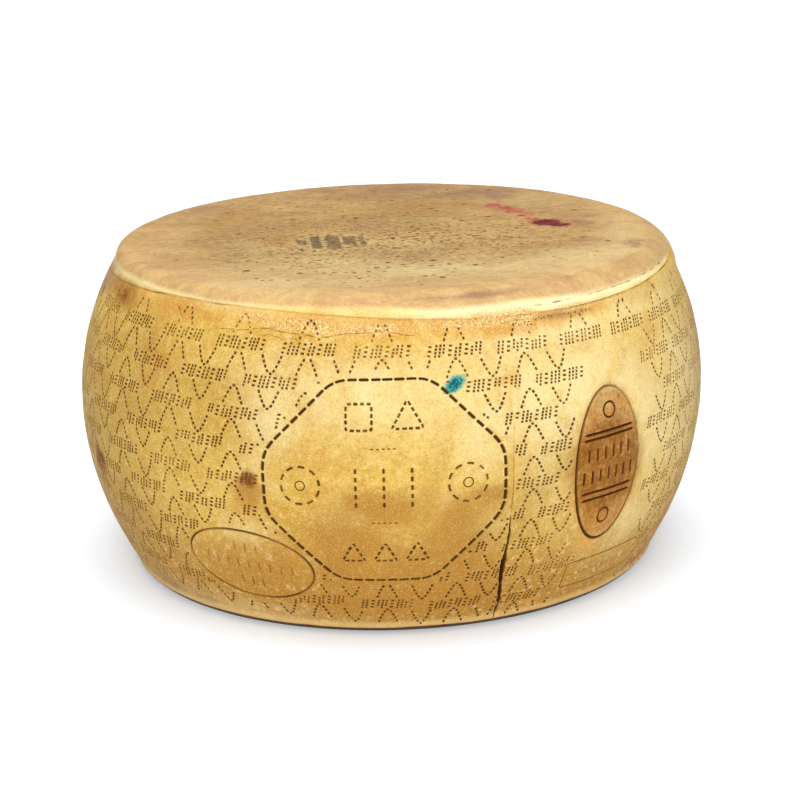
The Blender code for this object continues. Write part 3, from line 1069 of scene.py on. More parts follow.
# Patches of the side, by kind: degrees, height in millimetres, the spread of both, weight
SIDE_PATCHES = {
    "orange": (
        (-49, 201.5, 9, 6, 0.95),
        (-27, 203, 10, 5, 0.6),
        (-40, 201, 6, 6, 0.5),
        (-10, 201, 8, 6, 0.55),
        (3, 199, 8, 6, 0.85),
        (16, 196.5, 7, 6, 0.75),
        (26, 196, 8, 6, 0.75),
        (36, 195, 4, 6, 0.45),
        (41, 196.5, 5, 4, 0.55),
        (59, 194.5, 8, 5, 0.45),
        (-47.5, 176, 2, 8, 0.8),
        (-43.8, 168, 1.6, 5, 1),
        (-47.8, 157, 1.5, 6, 0.9),
        (-44, 164, 12, 28, 0.4),
        (-24.6, 100, 2.8, 13, 0.5),
        (54, 174, 3, 20, 0.45),
        (19.9, 164.2, 2.8, 6, 0.35),
        (37, 48, 4, 9, 0.75),
        (28, 12, 5, 5, 0.6),
        (12, 69, 5, 6, 0.6),
        (-50, 30, 16, 12, 0.35),
        (122, 196, 26, 6, 0.7),
        (168, 199, 14, 7, 0.8),
        (175, 120, 10, 30, 0.4),
        (140, 80, 6, 30, 0.4),
        (-130, 60, 14, 20, 0.4),
        (-110, 198, 22, 7, 0.8),
        (-155, 165, 8, 20, 0.5),
        (-66, 200, 8, 8, 0.9),
        (-7, 208, 8, 2.4, 0.4),
    ),
    "brown": (
        (-4, 54, 20, 34, 0.78),
        (14, 56, 6, 30, 0.35),
        (0, 96, 13, 14, 0.28),
        (-8, 96, 4, 10, 0.35),
        (6, 86, 9, 18, 0.6),
        (7, 125, 4.5, 24, 0.5),
        (-8.6, 126.5, 4, 12, 0.45),
        (-9, 76, 4, 10, 0.35),
        (17, 98.5, 4, 6, 0.5),
        (-4, 23, 17, 7, 0.75),
        (13, 25, 9, 10, 0.6),
        (-27, 46, 11, 18, 0.5),
        (-24.9, 99, 3.2, 14, 1),
        (-61, 199, 7, 7.5, 1),
        (-66, 88, 5, 21, 1),
        (150, 30, 24, 12, 0.7),
        (-150, 98, 5, 12, 0.6),
        (-100, 25, 24, 12, 0.6),
        (110, 100, 4, 12, 0.6),
        (-68, 201, 7, 5, 0.8),
        (33, 195.5, 7, 3, 0.6),
    ),
    "pale": (
        (26, 153, 16, 36, 0.85),
        (-2, 168, 13, 17, 0.6),
        (39, 154, 11, 22, 0.74),
        (52, 190, 16, 10, 0.62),
        (22, 188, 10, 8, 0.6),
        (36, 189, 6, 6, 0.5),
        (72, 130, 12, 60, 0.55),
        (-38, 11, 24, 8, 0.4),
        (-8, 152, 8, 20, 0.42),
        (-20.5, 144, 5, 18, 0.8),
        (46, 56, 10, 18, 0.6),
        (15.2, 75, 3.5, 10, 0.45),
        (14.6, 129, 3.6, 22, 0.35),
        (62, 160, 6, 18, 0.35),
        (31, 135, 3.5, 12, 0.35),
        (-21, 172, 10, 18, 0.45),
        (60, 110, 12, 40, 0.5),
        (48, 115, 7, 30, 0.7),
        (27, 100, 5, 30, 0.4),
        (4, 148, 14, 20, 0.24),
        (-24, 113, 5, 16, 0.45),
        (-26, 74, 5, 10, 0.5),
        (-9, 86, 4, 14, 0.2),
        (66, 150, 11, 50, 0.35),
        (160, 70, 20, 25, 0.6),
        (-165, 150, 20, 25, 0.6),
        (120, 145, 18, 25, 0.6),
        (-120, 110, 14, 25, 0.45),
    ),
    "grey": (
        (-84, 199, 15, 13, 0.95),
        (-50, 8, 15, 12, 0.6),
        (-90, 100, 12, 70, 0.3),
        (70, 45, 9, 22, 0.4),
        (86, 120, 13, 90, 0.55),
        (18, 213.5, 13, 1.6, 0.9),
        (36, 214.5, 8, 1.4, 0.5),
        (-120, 10, 30, 10, 0.5),
        (150, 198, 12, 10, 0.5),
        (-140, 213.5, 20, 2, 0.7),
        (34, 196.8, 6.5, 2, 0.75),
    ),
    # Olive: small stains, and painted shade in the broad patches at the left and right of the side
    "olive_stain_and_edge_shade": (
        (21, 200, 7, 6, 0.3),
        (-78, 115, 24, 80, 1.1),
        (-62, 50, 20, 40, 0.6),
        (-42, 150, 22, 50, 0.55),
        (78, 125, 16, 70, 1.05),
        (150, 100, 30, 50, 0.35),
        (-140, 110, 30, 60, 0.5),
        (30, 108, 4, 22, 0.4),
        (24, 95, 3, 12, 0.45),
        (-52, 187, 6, 14, 0.4),
        (18, 80, 7, 22, 0.4),
        (74, 50, 10, 30, 0.7),
    ),
    "rough": (
        (24.8, 196.8, 2.2, 5, 0.95),
        (24.5, 199, 4, 2.8, 0.95),
        (150, 199, 6, 3, 0.8),
        (-20, 200.5, 7, 5, 0.8),
        (-11, 199, 4, 4, 0.7),
        (-3, 198.5, 9, 4.4, 0.78),
        (12, 198, 7, 4.2, 0.68),
        (19, 199, 4, 3.6, 0.62),
        (37, 199.5, 5, 3.2, 0.62),
        (48, 199, 6, 3.4, 0.56),
        (-29, 203.5, 5, 3.2, 0.6),
        (-40, 204, 4, 2.6, 0.5),
    ),
    "dark": (
        (-24.9, 108, 1.7, 5.6, 1),
        (-66.2, 88, 2.4, 11, 1),
        (-63, 200, 5.5, 6, 0.5),
    ),
    # Painted highlight on the cream edge
    "painted_highlight": (
        (-56, 209, 15, 7, 0.4),
        (-33, 209, 9, 7, 0.55),
        (13, 205, 9, 8, 0.78),
        (33, 203.5, 13, 8, 0.8),
        (55, 203.5, 13, 8, 0.7),
        (140, 206, 26, 8, 0.6),
        (-130, 206, 24, 8, 0.5),
    ),
}

# Patches of the top, by kind: x, y, spread along x and spread along y in millimetres, weight
TOP_PATCHES = {
    "orange": (
        (128, 30, 16, 20, 0.4),
    ),
    "brown": (
        (-30, -10, 75, 60, 0.18),
        (-76, -16, 16, 14, 0.3),
        (-110, 50, 40, 40, 0.35),
        (85, -65, 40, 30, 0.35),
        (140, 4, 16, 30, 0.4),
        (30, 80, 80, 40, 0.35),
    ),
    "pale": (
        (-80, -45, 30, 30, 0.22),
        (103, 93, 30, 30, 0.25),
        (-70, -140, 60, 22, 0.5),
        (45, -110, 90, 30, 0.45),
        (-30, -85, 22, 22, 0.5),
        (125, -90, 30, 30, 0.6),
        (168, -78, 16, 26, 0.7),
        (155, -10, 15, 50, 0.4),
        (10, -40, 30, 18, 0.3),
        (25, -118, 45, 20, 0.38),
        (-80, -95, 30, 20, 0.25),
    ),
    "grey": (
        (163, -59, 10, 14, 0.95),
        (135, 20, 22, 30, 0.6),
        (135, -45, 20, 20, 0.4),
        (-133, 93, 30, 18, 0.5),
        (10, 150, 120, 45, 0.6),
        (75, 120, 30, 20, 0.6),
        (-145, -80, 18, 30, 0.35),
    ),
}
PATCH_KINDS = ("orange", "brown", "pale", "grey", "olive_stain_and_edge_shade", "rough", "dark", "painted_highlight")


def smooth_share(value, low, high):
    share = np.clip((value - low) / (high - low), 0.0, 1.0)
    return share * share * (3.0 - 2.0 * share)


def patch_weights(kind, points):
    """Weight of one kind of patch at every point."""
    flat = smooth_share(points[:, 2], FLAT_LEVEL, TOP_LEVEL)
    upright = smooth_share(points[:, 2], UNDER_LEVEL, UNDERCUT) * (1.0 - flat)
    x, y, height = 1000.0 * points.T
    degrees = np.degrees(np.arctan2(x, -y))
    total = np.zeros(len(points))
    for angle, level, spread, spread_up, weight in SIDE_PATCHES.get(kind, ()):
        around = (degrees - angle + 180.0) % 360.0 - 180.0
        total += weight * soft_spot(around, height - level, spread, spread_up) * upright
    for middle_x, middle_y, spread_x, spread_y, weight in TOP_PATCHES.get(kind, ()):
        total += weight * soft_spot(x - middle_x, y - middle_y, spread_x, spread_y) * flat
    return np.clip(total, 0.0, 1.0)


def lip_weight(angle, height):
    """Weight of the cream edge over the crease, paler rind with a painted highlight, which spills over it a
    little at the left.
    """
    crease = crease_height(angle)
    lip = smooth_share(height, crease + 0.0002, crease + 0.0012)
    spill = np.exp(-((np.degrees(angle) + 20.0) / 36.0) ** 2) * (1.0 - lip)
    return lip + 0.42 * spill * smooth_share(height, crease - 0.0050, crease - 0.0015)


def edge_weights(points):
    """Weights of the cream edge with its painted highlight, the top's rim, the lower side with its painted
    shade and browner rind, the underside and the pitted middle.
    """
    x, y, height = points.T
    angle = np.arctan2(x, -y)
    left = soft_spot(x + 0.026, y + 0.030, 0.085, 0.080)
    right = soft_spot(x - 0.075, y + 0.030, 0.060, 0.060)
    return {
        "lip": lip_weight(angle, height),
        "rim": smooth_share(np.hypot(x, y), 0.118, 0.168) * (0.60 + 0.40 * np.cos(angle)),
        "low": 1.0 - smooth_share(height, 0.020, 0.105),
        "under": 1.0 - smooth_share(height, UNDER_LEVEL, UNDERCUT),
        "pitted": np.clip(left + 0.6 * right, 0.0, 1.0) * smooth_share(height, FLAT_LEVEL, TOP_LEVEL),
    }


class RindMesh:
    """Gathers the sheets into one closed mesh with shared rims."""

    def __init__(self):
        self.points = []
        self.darks = []
        self.faces = []
        self.corners = []

    def add_sheet(self, sheet, points, faces, layout, welded, flip=False):
        """Adds a sheet's points, apart from those that are welded to points already here."""
        numbers = {}
        for index in range(len(points)):
            if index not in welded:
                numbers[index] = len(self.points)
                self.points.append(points[index])
                self.darks.append(sheet.darks[index])
        for index, target in welded.items():
            numbers[index] = numbers[target[1]] if target[0] == "own" else target[1]
        for face in faces:
            corners = list(reversed(face)) if flip else face
            self.faces.append([numbers[corner] for corner in corners])
            self.corners += [layout[corner] for corner in corners]
        return numbers


def build_side(mesh):
    """Side of the wheel. Gives the lower and the upper rim, as each point's number and place."""
    sheet, lower, upper, seam = side_sheet()
    faces = sheet.triangulate()
    flat = np.array(sheet.points)
    angle = flat[:, 0] / BELLY_RADIUS
    up = flat[:, 1]
    smooth = place(angle, up)
    lumps = relief(smooth) * smooth_share(up, 0.0, FOOT_LENGTH)
    points = smooth + facing(angle, up) * (lumps - np.array(sheet.depths))[:, None]
    layout = [(x + 0.5 * GIRTH, y) for x, y in sheet.points]
    welded = {after: ("own", before) for after, before in seam.items()}
    numbers = mesh.add_sheet(sheet, points, faces, layout, welded)
    return [[(numbers[index], points[index]) for index in rim] for rim in (lower, upper)]


def top_points(sheet):
    """Points of the top, which is a little hollow and lumpy inside its rim."""
    flat = np.array(sheet.points)
    share = np.hypot(flat[:, 0], flat[:, 1]) / TOP_RADIUS
    turn = np.arctan2(flat[:, 0], -flat[:, 1])
    hollow = 0.6 + 0.4 * np.sin(2 * turn + 0.8) * np.sin(3.0 * share)
    dish = TOP_DISH * hollow * np.clip(1.0 - share * share, 0.0, 1.0)
    points = np.column_stack([flat, WHEEL_HEIGHT - dish])
    fade = smooth_share(1.0 - share, 0.0, DISH_FADE)
    points[:, 2] += (relief(points) - DISH_DROP) * fade - np.array(sheet.depths)
    return points


def build_disc(mesh, rim, is_top):
    """Top or underside, joined to the side's rim."""
    outline = [(float(point[0]), float(point[1])) for _, point in rim]
    row = SHEET_HEIGHT + MAP_GAP + TOP_RADIUS
    if is_top:
        sheet, indices = disc_sheet(outline, DISC_STEP, TOP_PITS, top_crowding)
    else:
        sheet, indices = disc_sheet(outline, UNDERSIDE_STEP, UNDERSIDE_PITS, even_crowding)
    faces = sheet.triangulate()
    if is_top:
        points = top_points(sheet)
        layout = [(x + TOP_RADIUS, y + row) for x, y in sheet.points]
    else:
        points = np.column_stack([sheet.points, sheet.depths])
        layout = [(3.2 * TOP_RADIUS - x, y + row) for x, y in sheet.points]
    welded = {index: ("rim", number) for index, (number, _) in zip(indices, rim)}
    mesh.add_sheet(sheet, points, faces, layout, welded, flip=not is_top)


def new_object(name, data):
    """Object in the scene with this data."""
    thing = bpy.data.objects.new(name, data)
    bpy.context.scene.collection.objects.link(thing)
    return thing


def rind_object():
    mesh = RindMesh()
    lower_rim, upper_rim = build_side(mesh)
    build_disc(mesh, upper_rim, True)
    build_disc(mesh, lower_rim, False)
    points = np.array(mesh.points)
    data = bpy.data.meshes.new("cheese_wheel")
    data.from_pydata([tuple(point) for point in mesh.points], [], mesh.faces)
    places = np.array(mesh.corners, dtype=np.float32)
    places /= places.max()
    uv = data.uv_layers.new(name="OFBake")
    uv.data.foreach_set("uv", places.ravel())
    layers = edge_weights(points)
    layers["mark"] = np.array(mesh.darks)
    for kind in PATCH_KINDS:
        layers[kind] = patch_weights(kind, points)
    for name, values in layers.items():
        layer = data.attributes.new(name, 'FLOAT', 'POINT')
        layer.data.foreach_set("value", values.astype(np.float32))
    data.validate()
    data.shade_smooth()
    data.set_sharp_from_angle(angle=SHARP_ANGLE)
    return new_object("cheese_wheel", data)


def colour(red, green, blue):
    """Scene colour of a screen colour given from 0 to 255."""
    values = []
    for level in (red, green, blue):
        share = level / 255.0
        values.append(share / 12.92 if share <= 0.04045 else ((share + 0.055) / 1.055) ** 2.4)
    return (*values, 1.0)


class Graph:
    """Short calls for a material's nodes. Each call returns the new node's output."""

    def __init__(self, material):
        material.use_nodes = True
        self.nodes = material.node_tree.nodes
        self.links = material.node_tree.links
        self.shader = self.nodes["Principled BSDF"]

    def feed(self, socket, value):
        if isinstance(value, bpy.types.NodeSocket):
            self.links.new(value, socket)
        else:
            socket.default_value = value

    def math(self, operation, *values):
        node = self.nodes.new("ShaderNodeMath")
        node.operation = operation
        for socket, value in zip(node.inputs, values):
            self.feed(socket, value)
        return node.outputs[0]

    def times(self, *shares):
        """Product of two shares or more."""
        product = shares[0]
        for share in shares[1:]:
            product = self.math('MULTIPLY', product, share)
        return product

    def vector(self, operation, *values, output="Vector"):
        node = self.nodes.new("ShaderNodeVectorMath")
        node.operation = operation
        for socket, value in zip(node.inputs, values):
            self.feed(socket, value)
        return node.outputs[output]

    def mix(self, share, first, second):
        node = self.nodes.new("ShaderNodeMix")
        node.data_type = 'RGBA'
        colours = [socket for socket in node.inputs if socket.type == 'RGBA']
        self.feed(node.inputs["Factor"], share)
        self.feed(colours[0], first)
        self.feed(colours[1], second)
        return next(socket for socket in node.outputs if socket.type == 'RGBA')

    def tint(self, base, shade, *shares):
        """Lays a screen colour over a base, as far as the product of the shares says."""
        return self.mix(self.times(*shares), base, colour(*shade))

    def layers(self, base, *rows):
        """Lays colours over a base. A row is a source, its low and high, a share and a colour."""
        for source, start, full, share, shade in rows:
            base = self.tint(base, shade, self.smooth(source, start, full, 0.0, share))
        return base

    def noise_node(self, spot, scale, detail, roughness, distortion):
        node = self.nodes.new("ShaderNodeTexNoise")
        self.feed(node.inputs["Vector"], spot)
        node.inputs["Scale"].default_value = scale
        node.inputs["Detail"].default_value = detail
        node.inputs["Roughness"].default_value = roughness
        node.inputs["Distortion"].default_value = distortion
        return node

    def noise(self, spot, scale, detail=2.0, roughness=0.5, distortion=0.0):
        return self.noise_node(spot, scale, detail, roughness, distortion).outputs["Fac"]

    def shaken(self, spot, scale, reach):
        """Place moved about by noise, so that what is drawn there gets ragged edges."""
        wander = self.noise_node(spot, scale, 3.0, 0.6, 0.0).outputs["Color"]
        centred = self.vector('SUBTRACT', wander, (0.5, 0.5, 0.5))
        return self.vector('ADD', spot, self.vector('MULTIPLY', centred, (reach, reach, reach)))

    def smooth(self, value, low, high, start=0.0, end=1.0):
        node = self.nodes.new("ShaderNodeMapRange")
        node.interpolation_type = 'SMOOTHSTEP'
        self.feed(node.inputs["Value"], value)
        node.inputs["From Min"].default_value = low
        node.inputs["From Max"].default_value = high
        node.inputs["To Min"].default_value = start
        node.inputs["To Max"].default_value = end
        return node.outputs["Result"]

    def attribute(self, name):
        node = self.nodes.new("ShaderNodeAttribute")
        node.attribute_name = name
        return node.outputs["Fac"]

    def place(self):
        return self.nodes.new("ShaderNodeTexCoord").outputs["Object"]

    def reach(self, spot):
        """Distance from the wheel's upright axis."""
        return self.vector('LENGTH', self.vector('MULTIPLY', spot, (1.0, 1.0, 0.0)), output="Value")

    def along(self, spot, direction, centre=(0.0, 0.0, 0.0)):
        """Distance from a centre along a direction."""
        away = self.vector('SUBTRACT', spot, centre)
        return self.vector('DOT_PRODUCT', away, direction, output="Value")

    def height(self, spot):
        return self.along(spot, (0.0, 0.0, 1.0))

    def offsets(self, spot, x, y):
        """Distances along x and along y from a place on the top."""
        centre = (x, y, WHEEL_HEIGHT)
        return self.along(spot, (1.0, 0.0, 0.0), centre), self.along(spot, (0.0, 1.0, 0.0), centre)

    def near_side(self, spot, centre):
        """Mask of the half of the wheel that a place on the side is on."""
        outward = tuple(Vector((centre[0], centre[1], 0.0)).normalized())
        return self.smooth(self.along(spot, outward), 0.02, 0.06)

    def blot(self, across, up, half_width, half_height, soft):
        """Soft-edged oval mask from two distances."""
        x = self.math('DIVIDE', across, half_width)
        y = self.math('DIVIDE', up, half_height)
        distance = self.math('SQRT', self.math('ADD', self.times(x, x), self.times(y, y)))
        return self.smooth(distance, 1.0 + soft, 1.0 - soft)

    def block(self, across, up, half_width, half_height, soft):
        """Soft-edged upright rectangle from two distances."""
        x = self.smooth(self.math('ABSOLUTE', across), half_width + soft, half_width - soft)
        y = self.smooth(self.math('ABSOLUTE', up), half_height + 3.0 * soft, half_height - 3.0 * soft)
        return self.times(x, y)


def spot_frame(angle, height):
    """Centre, direction round the wheel and direction up, at a place on the side."""
    rise = float(sheet_up(angle, height))
    centre, above = [place(np.array([angle]), np.array([up]))[0] for up in (rise, rise + 0.001)]
    around = Vector((math.cos(angle), math.sin(angle), 0.0))
    upward = Vector(above - centre).normalized()
    return tuple(centre), tuple(around), tuple(upward)


def side_tone(graph, broad, middle, fine):
    side = graph.mix(graph.smooth(broad, 0.36, 0.64), colour(202, 158, 66), colour(217, 178, 84))
    side = graph.layers(
        side,
        (middle, 0.44, 0.68, 0.55, (192, 139, 42)),
        (middle, 0.44, 0.24, 0.55, (230, 199, 121)),
    )
    # Painted shade with browner rind: the lower side darker towards the foot
    side = graph.tint(side, (154, 103, 35), graph.attribute("low"), 0.78)
    return graph.layers(
        side,
        (fine, 0.52, 0.68, 0.46, (238, 208, 146)),
        (fine, 0.48, 0.33, 0.46, (172, 121, 36)),
    )


def top_tone(graph, broad, middle, fine):
    top = graph.layers(
        graph.mix(graph.smooth(broad, 0.38, 0.62), colour(173, 138, 88), colour(195, 159, 102)),
        (middle, 0.46, 0.68, 0.60, (160, 120, 76)),
        (middle, 0.44, 0.26, 0.50, (208, 172, 106)),
        (fine, 0.51, 0.67, 0.46, (222, 188, 124)),
        (fine, 0.49, 0.34, 0.46, (144, 107, 64)),
    )
    pinkish = graph.layers(
        graph.mix(graph.smooth(middle, 0.36, 0.60), colour(220, 184, 124), colour(204, 162, 112)),
        (fine, 0.50, 0.72, 0.40, (232, 200, 138)),
        (fine, 0.47, 0.32, 0.35, (182, 136, 86)),
    )
    return graph.mix(graph.times(graph.attribute("rim"), 0.80), top, pinkish)


def rind_tone(graph, spot):
    """Colour of the clean rind: golden side, tan top, and between them a cream edge with a painted
    highlight.
    """
    broad = graph.noise(spot, 11.0, 3.0, 0.55)
    middle = graph.noise(spot, 42.0, 5.0, 0.62, 0.4)
    fine = graph.noise(spot, 240.0, 4.0, 0.66)
    side = side_tone(graph, broad, middle, fine)
    stretched = graph.vector('MULTIPLY', spot, (0.6, 1.2, 1.0))
    smeared = graph.noise(stretched, 50.0, 5.0, 0.66, 0.6)
    streaked = graph.noise(stretched, 250.0, 4.0, 0.68)
    top = top_tone(graph, broad, smeared, streaked)
    # Cream edge: paler rind with a painted highlight
    cream_and_highlight = graph.mix(graph.smooth(middle, 0.35, 0.68), colour(248, 221, 146), colour(236, 200, 122))
    # Painted highlight: whiter patches on the cream edge
    cream_and_highlight = graph.tint(cream_and_highlight, (255, 248, 204), graph.attribute("painted_highlight"))
    base = graph.mix(graph.times(graph.attribute("lip"), 0.90), side, cream_and_highlight)
    base = graph.mix(graph.times(graph.attribute("under"), 0.85), base, top)
    level = graph.along(spot, (EDGE_SLOPE, 0.0, 1.0))
    wavy = graph.math('ADD', level, graph.times(graph.math('SUBTRACT', broad, 0.5), EDGE_WAVE))
    over = graph.smooth(wavy, EDGE_LEVEL - EDGE_SOFTNESS, EDGE_LEVEL + EDGE_SOFTNESS)
    return graph.mix(over, base, top)


def paint_foot_highlight_and_shadow(graph, spot, base):
    """Painted highlight on the lower rim, and painted contact shadow with a dark stain on the undercut
    beneath it.
    """
    wander = graph.math('SUBTRACT', graph.noise(spot, 30.0, 3.0, 0.6), 0.5)
    height = graph.math('ADD', graph.height(spot), graph.times(wander, 0.0016))
    outer = graph.smooth(graph.reach(spot), 0.1600, 0.1680)
    # Painted highlight: a pale band along the foot's edge
    rim = graph.smooth(height, UNDERCUT + 0.0062, UNDERCUT + 0.0014)
    base = graph.tint(base, (226, 188, 126), rim, outer, 0.68)
    # Painted contact shadow on the undercut, partly a dark stain
    dark = graph.smooth(height, UNDERCUT + 0.0006, UNDERCUT - 0.0006)
    return graph.tint(base, (46, 30, 16), dark, outer, 0.92)


# Stains, and painted shade among the olive ones: kind, whether its noise is the wide one, the noise's
# levels and shares, edge, share, colour
STAINS = (
    ("pale", False, (0.68, 0.42, 0.45, 1.0), None, 0.82, (236, 216, 156)),
    ("orange", False, (0.33, 0.64, 0.45, 1.35), (0.10, 0.95), 0.85, (204, 144, 62)),
    ("brown", True, (0.30, 0.66, 0.5, 1.4), (0.10, 0.90), 0.80, (169, 118, 45)),
    ("grey", False, (0.30, 0.66, 0.4, 1.4), (0.10, 0.90), 0.75, (148, 112, 88)),
    # Olive stains and painted shade
    ("olive_stain_and_edge_shade", True, (0.28, 0.66, 0.6, 1.0), None, 0.74, (150, 116, 52)),
    ("dark", False, (0.30, 0.60, 0.3, 1.6), (0.15, 0.80), 0.88, (114, 50, 4)),
)


def add_stains(graph, spot, base):
    """Stains with ragged edges, some of them painted shade, and crumbled rind."""
    ragged = graph.noise(spot, 55.0, 5.0, 0.68, 0.6)
    wide = graph.noise(spot, 20.0, 3.0, 0.55)
    for kind, is_wide, levels, edge, share, shade in STAINS:
        stain = graph.times(graph.attribute(kind), graph.smooth(wide if is_wide else ragged, *levels))
        if edge:
            stain = graph.smooth(stain, *edge)
        base = graph.tint(base, shade, stain, share)
    crumbs = graph.noise(spot, 900.0, 2.0, 0.7)
    rough = graph.smooth(graph.attribute("rough"), 0.25, 0.75)
    base = graph.tint(base, (224, 176, 114), rough, 0.60)
    base = graph.tint(base, (253, 232, 160), rough, graph.smooth(crumbs, 0.53, 0.62, 0.0, 0.8))
    return graph.tint(base, (158, 104, 50), rough, graph.smooth(crumbs, 0.46, 0.37, 0.0, 0.8))


def add_scorch(graph, spot, base):
    """Brown scorching in and round the scorched oval. Gives the colour and the mask of the burnt part."""
    edge = graph.shaken(spot, 90.0, 0.009)
    centre, around, upward = spot_frame(*SCORCH_SPOT)
    across = graph.along(edge, around, centre)
    up = graph.along(edge, upward, centre)
    width, height = SCORCH_HALF
    halo = graph.blot(across, up, 1.16 * width, 0.85 * height, 0.35)
    oval = graph.blot(across, up, width, height, 0.10)
    band = graph.blot(across, up, 1.12 * width, 0.62 * height, 0.26)
    near = graph.near_side(spot, centre)
    uneven = graph.times(graph.smooth(graph.noise(spot, 90.0, 5.0, 0.7), 0.30, 0.62, 0.62, 1.0), near)
    base = graph.tint(base, (196, 134, 48), halo, uneven, 0.35)
    base = graph.tint(base, (166, 104, 34), oval, uneven, 0.72)
    base = graph.tint(base, (122, 66, 14), band, uneven, 0.72)
    grain = graph.noise(spot, 420.0, 3.0, 0.7)
    burnt = graph.times(graph.math('MAXIMUM', oval, band), near)
    base = graph.tint(base, (216, 158, 84), burnt, graph.smooth(grain, 0.53, 0.66, 0.0, 0.42))
    base = graph.tint(base, (112, 54, 8), burnt, graph.smooth(grain, 0.47, 0.34, 0.0, 0.50))
    return base, burnt


# Smudges of black ink on the top: x, y, half width, half length, strength
BLACK_SMUDGES = (
    (-0.0563, -0.0240, 0.0034, 0.0068, 0.86),
    (-0.0469, -0.0262, 0.0034, 0.0190, 0.90),
    (-0.0353, -0.0270, 0.0048, 0.0200, 0.84),
    (-0.0262, -0.0225, 0.0028, 0.0120, 0.80),
    (-0.0216, -0.0265, 0.0017, 0.0150, 0.80),
    (-0.0165, -0.0240, 0.0016, 0.0155, 0.76),
)
SMUDGE_SLANT = 0.10
SMUDGE_SOFTNESS = 0.0011
SMUDGE_MIDDLE = (-0.0360, -0.0265)
SMUDGE_HALO = (0.0270, 0.0290)

# Smears of red ink on the top: x, y, half width, half length, strength. The strongest are fresh.
RED_SMEARS = (
    (0.0750, 0.0810, 0.0070, 0.0090, 0.70),
    (0.0830, 0.0700, 0.0080, 0.0085, 0.75),
    (0.0900, 0.0590, 0.0070, 0.0080, 0.60),
    (0.0960, 0.0470, 0.0060, 0.0080, 0.45),
    (0.0990, 0.0280, 0.0055, 0.0075, 0.60),
    (0.1085, 0.0170, 0.0095, 0.0105, 0.97),
    (0.1170, 0.0080, 0.0065, 0.0065, 0.92),
)
FRESH_STRENGTH = 0.9

# Teal blot on the side: its place, its slant's cosine and sine, half sizes of its halo and of its heart
BLOT_SPOT = (math.radians(10.7), 0.1657)
BLOT_SLANT = (0.61, 0.79)
BLOT_HALO = (0.0042, 0.0076)
BLOT_HEART = (0.0032, 0.0064)


def add_black_ink(graph, spot, base, on_top):
    """Slanted black smudges in a bleached patch."""
    edge = graph.shaken(spot, 300.0, 0.004)
    bleached = graph.blot(*graph.offsets(edge, *SMUDGE_MIDDLE), *SMUDGE_HALO, 0.35)
    base = graph.tint(base, (206, 180, 122), bleached, on_top, 0.42)
    blurred = graph.shaken(spot, 260.0, 0.0022)
    cloudy = graph.smooth(graph.noise(spot, 420.0, 2.0, 0.6), 0.34, 0.60, 0.62, 1.0)
    for x, y, half_width, half_length, strength in BLACK_SMUDGES:
        across, deep = graph.offsets(blurred, x, y)
        slanted = graph.math('ADD', across, graph.times(deep, SMUDGE_SLANT))
        mask = graph.block(slanted, deep, half_width, half_length, SMUDGE_SOFTNESS)
        base = graph.tint(base, (94, 76, 54), mask, cloudy, on_top, strength)
    return base


def add_red_ink(graph, spot, base, on_top):
    """Row of red smears, the last two of them fresh."""
    streaks = graph.smooth(graph.noise(spot, 260.0, 3.0, 0.7), 0.36, 0.60, 0.25, 1.0)
    filled = graph.smooth(streaks, 0.0, 0.3, 0.7, 1.0)
    rough = graph.shaken(spot, 210.0, 0.014)
    for x, y, half_width, half_length, strength in RED_SMEARS:
        fresh = strength > FRESH_STRENGTH
        across, deep = graph.offsets(rough, x, y)
        halo = graph.blot(across, deep, 1.5 * half_width, 1.4 * half_length, 0.45)
        base = graph.tint(base, (196, 118, 100), halo, on_top, 0.22)
        mask = graph.blot(across, deep, half_width, half_length, 0.35)
        shade = (108, 8, 36) if fresh else (166, 32, 56)
        base = graph.tint(base, shade, mask, filled if fresh else streaks, on_top, strength)
    return base


def add_teal_blot(graph, spot, base):
    """Slanted teal blot on the side, darker in its middle."""
    edge = graph.shaken(spot, 300.0, 0.004)
    centre, around, upward = spot_frame(*BLOT_SPOT)
    cosine, sine = BLOT_SLANT
    slanted = tuple(Vector(around) * cosine - Vector(upward) * sine)
    rising = tuple(Vector(around) * sine + Vector(upward) * cosine)
    across = graph.along(edge, slanted, centre)
    up = graph.along(edge, rising, centre)
    near = graph.near_side(spot, centre)
    base = graph.tint(base, (36, 160, 146), graph.blot(across, up, *BLOT_HALO, 0.30), near, 0.9)
    strokes = graph.smooth(graph.noise(spot, 520.0, 2.0, 0.6), 0.44, 0.56, 0.25, 1.0)
    return graph.tint(base, (0, 84, 96), graph.blot(across, up, *BLOT_HEART, 0.40), near, strokes)


def add_ink(graph, spot, base):
    """Smudged black and red ink on the top, and a teal blot on the side."""
    on_top = graph.smooth(graph.height(spot), *INK_LEVELS)
    base = add_black_ink(graph, spot, base, on_top)
    base = add_red_ink(graph, spot, base, on_top)
    return add_teal_blot(graph, spot, base)


def add_specks(graph, spot, base, speck):
    """Light and dark specks of the rind, fewer light ones in stains, on the edge and underneath."""
    stained = graph.math('ADD', graph.attribute("brown"), graph.attribute("grey"))
    light = graph.times(
        graph.smooth(speck, 0.53, 0.68, 0.0, 0.36),
        graph.smooth(graph.height(spot), 0.205, 0.211, 1.0, 0.3),
        graph.smooth(graph.attribute("under"), 0.0, 1.0, 1.0, 0.3),
    )
    base = graph.tint(base, (250, 222, 150), light, graph.smooth(stained, 0.2, 1.0, 1.0, 0.5))
    return graph.layers(base, (speck, 0.46, 0.32, 0.32, (150, 104, 34)))


